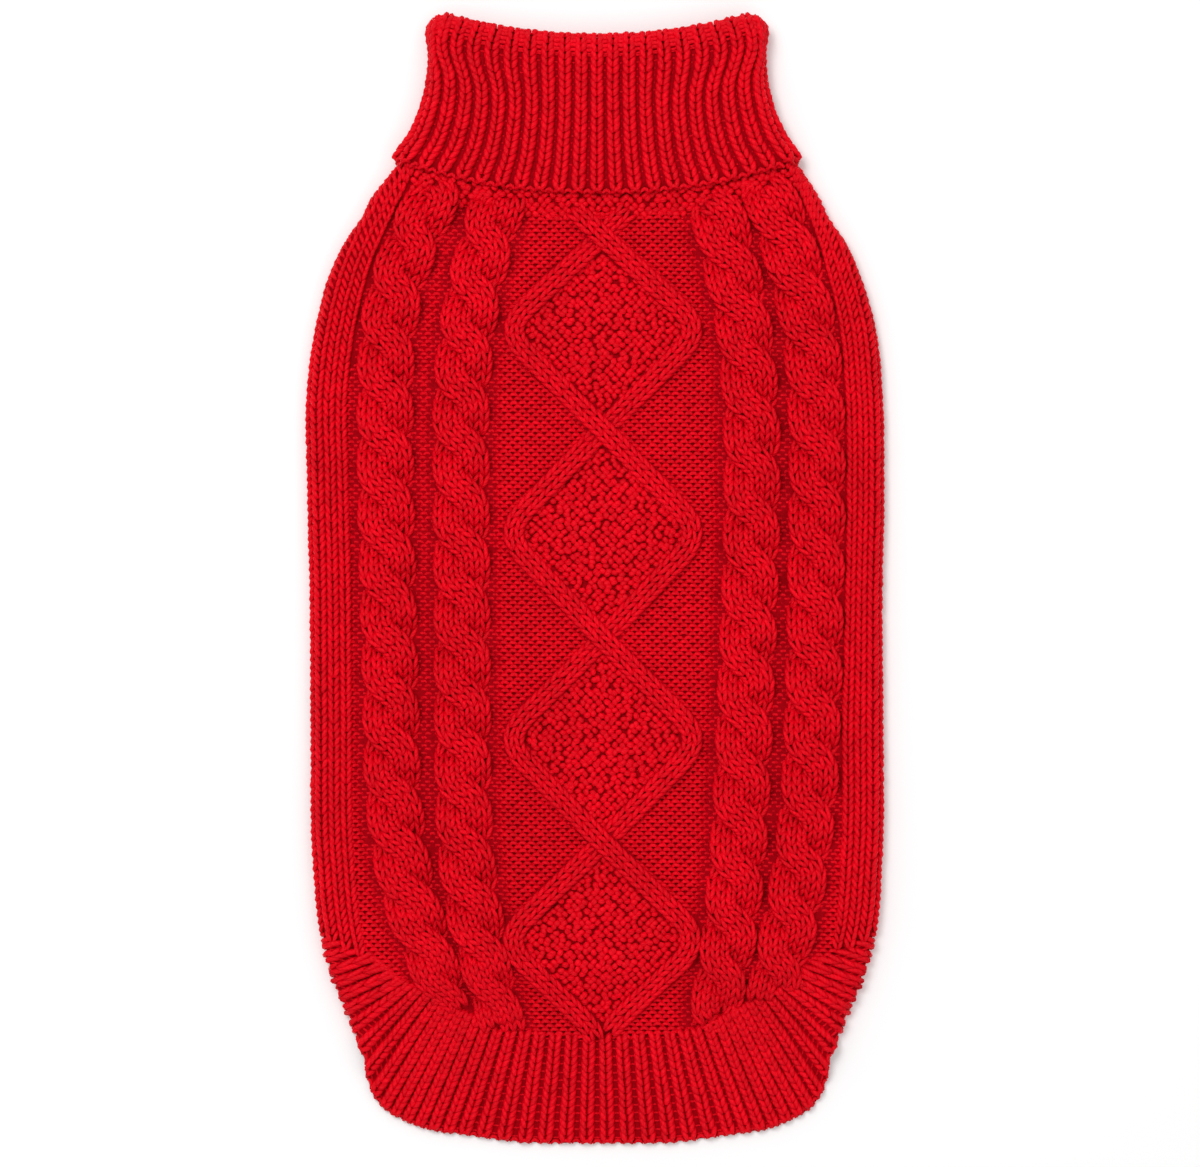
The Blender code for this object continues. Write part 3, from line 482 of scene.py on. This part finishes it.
# The red varies at random by tone and batch, and the fibre noise lightens it in slanted streaks along the
# yarn as painted highlights.
shade = add(tree, "ShaderNodeMapRange", {"From Min": 0.48, "From Max": 1.05}, {"Value": mixed.outputs[0]})
dye_and_painted_highlight = add(tree, "ShaderNodeMix", {"data_type": "RGBA", 6: linear("#C80012"), 7: linear("#FF001E")},
          {0: shade.outputs["Result"]})
skin = add(tree, "ShaderNodeBsdfPrincipled", {
    "Roughness": 0.5, "Specular IOR Level": 0.10, "Sheen Weight": 0.03, "Sheen Roughness": 0.4,
    "Sheen Tint": linear("#FF2848")}, {"Base Color": dye_and_painted_highlight.outputs[2], "Normal": bump.outputs["Normal"]})
tree.links.new(skin.outputs["BSDF"], out.inputs["Surface"])

ROW = 3.0
fine, plain = [], []
for side in (-1, 1):
    for count in range(12):
        row = np.arange(-186.0, 168.0, ROW)
        edge = band_edge(side, row)
        across = edge + (count + 0.5) * COLUMN * (half_width(side, row) - edge) / BAND
        use = (across < belly_seam(side, row) + 0.8) & (row > hem_pick_up(across) - 1.0)
        use &= row < beside_collar(across, -4.0)
        across, row = side * across[use], row[use] + chance.normal(0, 0.12, use.sum())
        narrow = COLUMN * (half_width(side, row) - band_edge(side, row)) / BAND

        def band(first, second, height):
            fold = ease((np.abs(first) - fold_start(first, second)) / 5.0)
            return lay(first, second, WALL - 0.35 - 0.8 * fold + height)

        kept_top = count < 6
        (fine if kept_top else plain).extend(v_stitches(
            band, across, row, narrow, ROW, stations=4 if kept_top else 3, flat=1.0 if kept_top else 0.6))
band_top = yarn("side_band_stitches", fine, stitch_yarn)
band_under = yarn("side_band_under_stitches", plain, stitch_yarn, sides=4)

# ------------------------------------------------------------------------------------------------
# Rope cables. Four ropes, each of two strands of three stitch columns, knitted with the back. Every
# 21 mm the left strand is crossed over the right one, so the lobes run down to the right.

ROPE_ROW = 3.6


def rope_surface(name, step):
    """Points of a strand's yarn bed: off its path to the side, and out by a flattened round whose
    middle rises and dips with the sine of the turn, as one strand passes over the other."""
    along = np.arange(176.0, -190.0, -0.5)
    across, turn = strand_path(name, along, step)
    run = np.concatenate([[0], np.cumsum(np.hypot(np.diff(across), np.diff(along)))])

    def surface(first, second, height):
        x, y = (np.interp(second, run, line) for line in (across, along))
        ahead = np.stack([np.interp(second + 0.3, run, across) - np.interp(second - 0.3, run, across),
                          np.interp(second + 0.3, run, along) - np.interp(second - 0.3, run, along)])
        ahead /= np.linalg.norm(ahead, axis=0)
        squeeze = rope_half(name, y) / ROPE
        a, b = x - ahead[1] * first * squeeze, y + ahead[0] * first * squeeze
        theta = np.interp(second, run, turn)
        fade = ease((collar_edge(a) - 1 - b) / 9.0) * (0.25 + 0.75 * ease((b - hem_pick_up(a)) / 9.0))
        return lay(a, b, WALL + strand_height(first, theta) * fade - 0.5 * (1 - fade) + height)

    return surface, run, turn, across, along


for pair, names in (("left", ("left_outer", "left_inner")), ("right", ("right_inner", "right_outer"))):
    lengths = []
    for name in names:
        for step in (0, 1):
            surface, run, turn, across, along = rope_surface(name, step)
            row = np.arange(2.0, run[-1], ROPE_ROW)
            theta, x, y = (np.interp(row, run, line) for line in (turn, across, along))
            part = np.mod(theta + 0.5, 2)
            use = (part > 0.03) & (part < 1.97) & (y < beside_collar(x, 7.0)) & (y > hem_pick_up(x) - 1.0)
            row = row[use]
            for column in (-1, 0, 1):
                lengths.extend(v_stitches(
                    surface, np.full(len(row), -column * STRAND_COLUMN), row, STRAND_COLUMN, -ROPE_ROW,
                    thick=1.0, slant=0.35, long=1.45))
    yarn(f"rope_cables_{pair}", lengths, stitch_yarn)

# ------------------------------------------------------------------------------------------------
# Lattice cords. Two travelling cables of two stitch columns each, knitted with the back. They cross
# down its middle and swing out between, and the cord that comes from the upper left lies on top.

CORD_COLUMN, CORD_ROW = 4.0, 3.8
CROSSINGS = np.array([137.8, 60.6, -23.0, -104.2])


def cord_surface(line):
    """Points of a cord's yarn bed: off its line to the side, and out by a flattened round that is
    raised or sunk round each crossing."""
    run = np.concatenate([[0], np.cumsum(np.linalg.norm(np.diff(line, axis=0), axis=1))])

    def surface(first, second, height):
        at, before, after = (
            np.stack([np.interp(second + d, run, line[:, i]) for i in (0, 1)]) for d in (0, -1, 1))
        ahead = (after - before) / np.linalg.norm(after - before, axis=0)
        a, b = at[0] - ahead[1] * first, at[1] + ahead[0] * first
        near = ease(1.25 - np.min(np.abs(b[..., None] - CROSSINGS), axis=-1) / 8.0)
        over = np.where(ahead[0] > 0, 0.9, -1.7) * near
        w = np.clip(np.abs(first) / 6.2, 0, 1)
        bed = -0.9 + over + CORD_RISE * np.sqrt(1 - w * w)
        fade = ease((collar_edge(a) - 1 - b) / 9.0) * (0.35 + 0.65 * ease((b - hem_pick_up(a)) / 9.0))
        return lay(a, b, WALL + bed * fade - 0.4 * (1 - fade) + height)

    return surface, run


lengths = []
for line in CORD_LINES:
    surface, run = cord_surface(line)
    row = np.arange(2.0, run[-1], CORD_ROW)
    x, y = (np.interp(row, run, line[:, i]) for i in (0, 1))
    row = row[(y < 146.5) & (y > hem_pick_up(x) - 1.0)]
    for column in (-0.5, 0.5):
        lengths.extend(v_stitches(surface, np.full(len(row), column * CORD_COLUMN), row, CORD_COLUMN,
                                  -CORD_ROW, thick=1.0, slant=0.33, long=1.5))
cords = yarn("lattice_cords", lengths, stitch_yarn)

# ------------------------------------------------------------------------------------------------
# Ground. Reverse stockinette between the cables: the yarn's loops show as low caps that lie like
# fish scales. Inside the diamonds moss stitch stands as round nubs, and so do the first rows below
# the collar, where the pattern has not started.


def caps(surface, column, row, wide, tall, sink=0.55, stations=5, half=0.98, twist=0.0, height=0.0):
    """Purl loops. Station t of a cap, from -1 to 1, lies at column + half of wide times t, at row +
    tall times a half wave of t, turned by twist, and its ends bend down by the same half wave."""
    t = np.linspace(-1, 1, stations)[None]
    column, row, turn = (np.broadcast_to(np.asarray(a, float), len(column)).reshape(-1, 1)
                         for a in (column, row, twist))
    loose = chance.normal(0, 1, (len(column), 3, 1))
    arch = np.cos(np.pi * t / 2)
    x, y = wide / 2 * t, tall * (arch - 0.6)
    first = column + x * np.cos(turn) - y * np.sin(turn) + 0.04 * wide * loose[:, 0] / 1.6
    second = row + x * np.sin(turn) + y * np.cos(turn) + 0.08 * loose[:, 1]
    at, out = outwards(surface, first, second, height + sink * (arch - 1) + 0.07 * loose[:, 2])
    yield at, out, half * (0.72 + 0.28 * arch) * (1 + 0.05 * loose[:, 0])


def grid(wide, tall, reach):
    """Places in staggered rows: every other row starts half a step to the side."""
    row = np.arange(-186.0, 170.0, tall)
    column = np.arange(-reach, reach, wide)
    shift = wide / 2 * (np.arange(len(row)) % 2)[:, None]
    return np.stack(np.broadcast_arrays(column[None] + shift, row[:, None]), -1).reshape(-1, 2).T


def clear(across, along, ropes, cords):
    """Which places lie outside the ropes, the cords and the side bands by these margins."""
    use = np.abs(across) < band_edge(across, along) + 1.0
    use &= (along > hem_pick_up(across) - 0.5) & (along < beside_collar(across, -3.0))
    for name in ROPE_NEXT:
        use &= np.abs(across - through(ROPES, name, along)) > rope_half(name, along) - ropes
    for line in CORD_LINES:
        use &= (distance_to(line, across, along) > CORD - cords) | (along > 151.0)
    return use


def in_diamond(across, along):
    """Which places lie between the two cords, below their first crossing."""
    reach = np.abs(np.interp(along, LATTICE["along"][::-1], LATTICE["across"][::-1]))
    return (np.abs(across - through(ROPES, "lattice", along)) < reach) & (along < MOSS_TOP)


def ground(first, second, height):
    """The ground's yarn bed, lower beside the ropes."""
    return lay(first, second, WALL - 0.75 - gutter(first, second) + height)


def moss(first, second, height):
    """The nubs' yarn bed, level over the cloth."""
    return lay(first, second, WALL - 0.7 + height)


across, along = grid(3.6, 1.6, 100.0)
across, along = across + 0.25 * np.sin(along / 11), along + 0.3 * np.sin(across / 17)
use = clear(across, along, 5.2, 1.4) & ~in_diamond(across, along) & (along < beside_collar(across, 7.0))
across, along = across[use], along[use]
thin = 0.96 - 0.16 * gutter(across, along)[:, None]
purl = yarn("purl_ground", list(caps(ground, across, along, 3.6, 1.0, half=thin, stations=4)),
            stitch_yarn, sides=4)

across, along = grid(3.3, 1.7, 110.0)
across, along = across + chance.normal(0, 0.38, across.shape), along + chance.normal(0, 0.28, along.shape)
neck = (along > beside_collar(across, 10.0)) & (along < beside_collar(across, -4.0))
neck &= np.abs(across) < band_edge(across, along) + 1.0
use = (clear(across, along, 1.5, 1.0) & in_diamond(across, along)) | neck
twist = chance.normal(0, 0.8, use.sum())
nubs = yarn("moss_stitch", list(caps(
    moss, across[use], along[use], 1.8, 0.4, sink=0.7, stations=4, half=1.38, twist=twist)),
    stitch_yarn)

# ------------------------------------------------------------------------------------------------
# Belly panel. A plain flat piece in the same worsted acrylic, knitted in stockinette and lying face
# down. It is sewn to the side bands, with a round notch in each seam for a foreleg. A narrow last
# column follows each seam.

LEG_FRONT, LEG_REAR, LEG_DEPTH = 118.0, 62.0, 33.0
HEM_UNDER = np.stack(hem_point(np.linspace(23, 36, 80), 0.0), axis=-1)
HEM_UNDER[:, 0] = half_girth(1, HEM_UNDER[:, 1]) - HEM_UNDER[:, 0]


def belly_side(side, along):
    """The belly's side edge: the seam, less a half round where the foreleg hole cuts in."""
    t = (along - LEG_REAR) / (LEG_FRONT - LEG_REAR)
    cut = LEG_DEPTH * np.sqrt(np.clip(1 - (2 * t - 1) ** 2, 0, 1)) ** 0.8
    return half_width(side, along) - WRAP - SEAM - cut


def belly_rear(across):
    """The belly's rear edge, where the band is picked up."""
    return np.interp(np.abs(across), HEM_UNDER[::-1, 0], HEM_UNDER[::-1, 1]) + SEAM


share, rows = np.linspace(-1, 1, 45)[None], np.linspace(0, 1, 96)[:, None]
low, high = np.full(share.shape, -112.0), np.full(share.shape, 160.0)
for _ in range(40):
    low = (low + belly_rear(share * belly_side(share, low)) + 0.2) / 2
    high = (high + collar_edge(share * belly_side(share, high)) + NECK_TUCK - 0.5) / 2
along = low + (high - low) * rows
across = share * belly_side(share, along)
raised = lift(across, along)
belly_cloth = closed_wall(
    "belly_panel_cloth", np.stack([across, along, raised + WALL - 0.4], -1),
    np.stack([across, along, raised + 1.1], -1), painted_shade_finish)
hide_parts("belly_panel")


def belly_face(first, second, height):
    """The belly's yarn bed. It faces down, so height counts towards the table."""
    return np.stack(np.broadcast_arrays(first, second, lift(first, second) + 1.0 - height), -1)


column = np.arange(-20, 21) * COLUMN
row = np.arange(-146.0, 160.0, 3.2)
across, along = (a.ravel() for a in np.meshgrid(column, row))
use = (np.abs(across) < belly_side(across, along) - 0.7) & (along > belly_rear(across) + 0.2)
use &= along < collar_edge(across) + 1.0
column, row, wide = across[use], along[use], np.full(use.sum(), COLUMN)
for side in (-1, 1):
    beside = np.arange(-146.0, 160.0, 2.4)
    across = side * (belly_side(side, beside) - 1.2)
    use = (beside > belly_rear(across) + 0.2) & (beside < collar_edge(across) + 1.0)
    column, row = np.append(column, across[use]), np.append(row, beside[use])
    wide = np.append(wide, np.full(use.sum(), 2.4))
belly_yarn = yarn("belly_stitches", list(v_stitches(
    belly_face, column, row, wide, 3.2, thick=0.98, stations=3, flat=0.4)),
    stitch_yarn, sides=4)

# ------------------------------------------------------------------------------------------------
# Rear band. One by one rib in the same yarn, picked up round the rear opening and bound off: knit
# columns stand as ridges, and the purl columns between them sink to dark furrows.

RIB_OUT, RIB_IN, HEM_ROW, HEM_DEEP = 0.5, 1.2, 2.9, 42.0


def ridge(rib, across, along):
    """How far the band's face stands out: a crest at half counts and a furrow at whole ones. It is
    pressed nearly flat where the ribs turn round the side folds, and flat on the belly."""
    wave = (RIB_OUT + RIB_IN) * np.sin(np.pi * rib) ** 2 - RIB_IN
    side_fold = ease((np.abs(across) - fold_start(across, along) + 7) / 6.0)
    return wave * ease((24.0 - np.abs(rib)) / 2) * (1 - 0.65 * side_fold)


def hem_face(first, second, height):
    """The rear band's yarn bed: first is the rib count, and second runs from 0 at the pick-up to
    HEM_DEEP at the free edge, which is in millimetres where the band is that deep."""
    across, along = hem_point(first, second / HEM_DEEP)
    return lay(across, along, WALL - 0.75 + ridge(first, across, along) + height)


ribs = np.linspace(-36, 36, 289)
parts = np.linspace(-0.02, 1, 15)
loop, down = np.meshgrid(ribs[:-1], parts, indexing="ij")
across, along = hem_point(loop, down)
top = lay(across, along, WALL - 1.05 + 0.95 * ridge(loop, across, along))
under = lay(across, along, 0.6)
section = np.concatenate([top, under[:, ::-1]], axis=1)


def ring_faces(count, size):
    """Quads between neighbouring rings, closed round each ring and from the last ring to the first."""
    index = np.arange(count * size).reshape(count, size)
    after = np.roll(index, -1, axis=0)
    return np.stack([index, np.roll(index, -1, 1), np.roll(after, -1, 1), after], -1).reshape(-1, 4)


faces = ring_faces(*section.shape[:2])
hem_cloth = piece("rear_band_cloth", section.reshape(-1, 3), faces.ravel(), np.full(len(faces), 4),
                  painted_shade_finish)
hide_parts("hem_rib")

fine, plain, purl = [], [], []
for rib in np.arange(-24.0, 24.1, 1.0):
    row = np.arange(1.5, 41.0, 3.2)
    purl.extend(caps(hem_face, np.full(len(row), rib), row, 0.6, 0.5, sink=0.2, half=0.56,
                     stations=4, height=-0.4))
bound = np.arange(-36, 36, 0.5)
purl.extend(caps(hem_face, bound, np.full(len(bound), 41.4), 0.46, -1.2, sink=0.4, half=0.9,
                 stations=4, height=0.1))
for rib in (-36.0, *np.arange(-35.5, 36, 1.0), 36.0):
    (a0, b0), (a1, b1) = hem_point(np.float64(rib), 0.0), hem_point(np.float64(rib), 1.0)
    kept_top = abs(rib) < 24
    long = float(np.linalg.norm(lay(a1, b1, WALL) - lay(a0, b0, WALL)) if kept_top
                 else np.hypot(a1 - a0, b1 - b0))
    count = max(int(round(long / HEM_ROW)), 3)
    row = (np.arange(count) + 0.95) / count * HEM_DEEP
    (fine if kept_top else plain).extend(v_stitches(
        hem_face, np.full(count, rib), row, 0.80, -HEM_DEEP / count, thick=1.25, slant=0.28, long=1.6,
        stations=4 if kept_top else 3, flat=1.0 if kept_top else 0.4))
hem_yarn = [yarn("rear_band_stitches", fine, stitch_yarn),
            yarn("rear_band_under_stitches", plain, stitch_yarn, sides=4),
            yarn("rear_band_purl_and_bind_off", purl, stitch_yarn, sides=4)]

# ------------------------------------------------------------------------------------------------
# Collar. One tube of one by one rib, knitted on at the neck and turned down over itself. The ribs
# crowd towards the side folds above the waist and spread to the bound-off free edge.

COLLAR_HEIGHT, COLLAR_WALL, COLLAR_RIBS, COLLAR_CROWD = 13.0, 2.6, 22, 0.11
COLLAR_LIFT, NECK_WALL, COLLAR_REACH, COLLAR_ROW = 2.9, 2.8, (67.6, 81.8), 2.9
COLLAR_SIDES = table("along half", [
    (155, 80.0), (163, 81.4), (168.6, 81.8), (172.6, 79.8), (176.6, 76.6), (184.6, 72.4),
    (192.6, 69.6), (200.6, 67.9), (208.6, 67.1), (220, 67.7), (228, 67.4),
])
COLLAR_LEAN = table("down lean", [(0, 0.4), (0.22, 1.0), (0.42, 0.3), (0.65, 0.1), (1, 0.15)])


def collar_top(across):
    """How far along the collar's fold lies: lowest in the middle, with rounded corners."""
    reach = np.abs(across)
    return 218.0 + 8.0 * (np.minimum(reach, 60) / 60) ** 2 - 3.2 * np.clip((reach - 58) / 9.7, 0, 1) ** 2


def collar_point(rib, down, inset):
    """A point of the collar: round a flat tube whose ends are half circles, inset inside its outer
    face. rib counts from the middle of the back, down runs from 0 at the fold to 1 at the free edge."""
    top, edge = collar_top(COLLAR_REACH[0]), collar_edge(COLLAR_REACH[1])
    half = through(COLLAR_SIDES, "half", top + (edge - top) * down)
    start, middle = half - COLLAR_HEIGHT / 2, (COLLAR_HEIGHT - COLLAR_WALL) / 2
    from_back = np.minimum(2 * np.abs(rib) / COLLAR_RIBS, 1)
    crowd = COLLAR_CROWD * through(COLLAR_LEAN, "lean", down) * from_back ** 2 * np.sin(np.pi * from_back)
    reach = (np.abs(rib) / COLLAR_RIBS + crowd) * (2 * start + np.pi * middle)
    turn = np.clip((reach - start) / middle, 0, np.pi)
    radius = COLLAR_HEIGHT / 2 - inset
    under = start - (reach - start - np.pi * middle)
    x = np.where(turn == 0, reach, np.where(turn == np.pi, under, start + radius * np.sin(turn)))
    fold, free = collar_top(x / half * COLLAR_REACH[0]), collar_edge(x / half * COLLAR_REACH[1])
    return np.stack(np.broadcast_arrays(
        np.sign(rib) * x, fold + (free - fold) * down, COLLAR_HEIGHT / 2 + radius * np.cos(turn)), -1)


COLLAR_FOLD = (COLLAR_LIFT + NECK_WALL) / 2


def collar_long(rib):
    """How long a rib is from fold to free edge."""
    return np.linalg.norm(collar_point(rib, 1.0, 0.0) - collar_point(rib, 0.0, 0.0), axis=-1)


def collar_face(first, second, height):
    """The collar's yarn bed: first is the rib count and second the millimetres down from the fold's
    foot. Less than 0 goes up round the fold as a half circle."""
    around = np.clip(-second / COLLAR_FOLD, 0, np.pi)
    deepens = 0.15 + 0.85 * ease((second - 2.0) / 9.0)
    waved = RIB_OUT - (RIB_OUT + RIB_IN) * np.sin(np.pi * first) ** 2 * deepens
    raised = height - 0.75 + waved * ease((11.6 - np.abs(first)) / 0.6) - 0.15 * ease(np.abs(first) - 11)
    reach = np.where(second > 0, COLLAR_FOLD + second, COLLAR_FOLD - (COLLAR_FOLD + raised) * np.sin(around))
    inset = np.where(second > 0, -raised, COLLAR_FOLD - (COLLAR_FOLD + raised) * np.cos(around))
    return collar_point(first, reach / collar_long(first), inset)


loop = np.linspace(-COLLAR_RIBS, COLLAR_RIBS, 177)[:-1]
long = collar_long(loop)
seam = np.full(len(loop), 0.9)
for _ in range(30):
    end = collar_point(loop, seam, COLLAR_LIFT)
    seam += (end[:, 1] - collar_edge(end[:, 0]) - NECK_TUCK - 0.6) / long
flat = np.zeros_like(loop)
furrow = 0.5 + 1.5 * np.sin(np.pi * loop) ** 2 * ease((11.6 - np.abs(loop)) / 0.6)
steps = [(1 - 0.6 / long, flat + 1.5)]
steps += [(COLLAR_FOLD / long + (1 - COLLAR_FOLD / long) * d, furrow)
          for d in (0.9, 0.75, 0.6, 0.45, 0.3, 0.15)]
steps += [(COLLAR_FOLD / long, flat + 1.2)]
bend = COLLAR_FOLD - 1.1
steps += [((COLLAR_FOLD - bend * np.sin(a)) / long, flat + COLLAR_FOLD - bend * np.cos(a))
          for a in (0.5, 1.0, 1.57, 2.1, 2.6)]
steps += [(seam * d, flat + 2 * COLLAR_FOLD - 0.4) for d in (0.4, 0.7, 1.0)]
steps += [(seam * d, flat + COLLAR_LIFT + 0.2) for d in (1.0, 0.7, 0.4)]
inside = flat + COLLAR_WALL - 0.1
steps += [(3.6 / long, flat + COLLAR_LIFT), (3.4 / long, flat + COLLAR_LIFT - 0.3), (3.8 / long, inside)]
steps += [(flat + d, inside) for d in (0.3, 0.5, 0.7, 0.85)] + [(1 - 0.6 / long, inside)]
section = np.stack([collar_point(loop, down, inset) for down, inset in steps], axis=1)
faces = ring_faces(*section.shape[:2])
collar_cloth = piece("collar_cloth", section.reshape(-1, 3), faces.ravel(), np.full(len(faces), 4),
                     painted_shade_finish)
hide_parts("collar")

# Ribs within 12 of the middle show from above, and a furrow lies between each two of them.
fine, plain, purl = [], [], []
for rib in np.arange(-11.5, 12, 1.0):
    row = np.arange(float(collar_long(rib)) - COLLAR_FOLD - 2.4, -1.9 * COLLAR_FOLD, -COLLAR_ROW)
    row = np.concatenate([row[row > 5], np.arange(5.0, -1.9 * COLLAR_FOLD, -1.6)])
    near = ease((7.0 - row) / 5.0)[:, None]
    purl.extend(caps(collar_face, np.full(len(row), rib), row, 0.62, 0.5, sink=0.3, half=0.5 + 0.6 * near,
                     stations=4, height=-0.5 + 0.45 * near))
for rib in np.arange(-12, 12.1, 0.5):
    row = np.array([float(collar_long(rib)) - COLLAR_FOLD - 0.5])
    purl.extend(caps(collar_face, np.full(1, rib), row, 0.48, -1.3, sink=0.4, half=1.0))
for rib in range(-COLLAR_RIBS + 1, COLLAR_RIBS + 1):
    kept_top = abs(rib) <= 12
    long = float(collar_long(np.float64(rib))) - COLLAR_FOLD
    row = np.arange(long - 0.4, -1.9 * COLLAR_FOLD, -COLLAR_ROW)
    (fine if kept_top else plain).extend(v_stitches(
        collar_face, np.full(len(row), float(rib)), row, 0.80, -COLLAR_ROW, thick=1.25, slant=0.28, long=1.6,
        stations=4 if kept_top else 3, flat=1.0 if kept_top else 0.4))
collar_yarn = [yarn("collar_stitches", fine, stitch_yarn),
               yarn("collar_under_stitches", plain, stitch_yarn, sides=4)]
FURROWS = 24
for length, name in ((purl[:FURROWS], "collar_purl_furrows"), (purl[FURROWS:], "collar_bind_off")):
    collar_yarn.append(yarn(name, length, stitch_yarn, sides=4))

# ------------------------------------------------------------------------------------------------
# Table, light and camera. A plain pale sheet under the garment, one wide soft light above it and a
# weaker one from the collar's side.

table_mesh = bpy.data.meshes.new("table")
corners = [(x, y, -0.0001) for x, y in ((-3, -3), (3, -3), (3, 3), (-3, 3))]
table_mesh.from_pydata(corners, [], [(0, 1, 2, 3)])
table_top = bpy.data.objects.new("table", table_mesh)
bpy.context.scene.collection.objects.link(table_top)
table_top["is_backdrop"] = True
paper, tree, out = material("matt_white_paper")
skin = add(tree, "ShaderNodeBsdfPrincipled", {"Base Color": linear("#FAFAFA"), "Roughness": 0.9})
tree.links.new(skin.outputs["BSDF"], out.inputs["Surface"])
table_mesh.materials.append(paper)

world = bpy.data.worlds.new("soft_room")
world.use_nodes = True
world.node_tree.nodes["Background"].inputs["Color"].default_value = (1, 1, 1, 1)
world.node_tree.nodes["Background"].inputs["Strength"].default_value = 0.70
bpy.context.scene.world = world
for name, place, size, power in (
        ("soft_box", (-0.50, 0.65, 1.5), 0.7, 13.0), ("fill", (0.7, -0.5, 1.5), 1.2, 2.0)):
    lamp = bpy.data.lights.new(name, "AREA")
    lamp.size, lamp.energy = size, power
    light = bpy.data.objects.new(name, lamp)
    light.location = place
    light.rotation_euler = Vector([-v for v in place]).to_track_quat("-Z", "Y").to_euler()
    bpy.context.scene.collection.objects.link(light)

lens = bpy.data.cameras.new("camera")
lens.lens, lens.sensor_width, lens.clip_start = 100.0, 36.0, 0.05
camera = bpy.data.objects.new("camera", lens)
camera.location = (0.0020, -0.0011, 0.480 * 100.0 / 36.0 + 0.006)
bpy.context.scene.collection.objects.link(camera)
bpy.context.scene.camera = camera
bpy.context.scene.view_settings.view_transform = "Standard"

sizes = {"cad": cad_box, "visual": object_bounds()}
{key: [list(map(float, corner)) for corner in box] for key, box in sizes.items()}
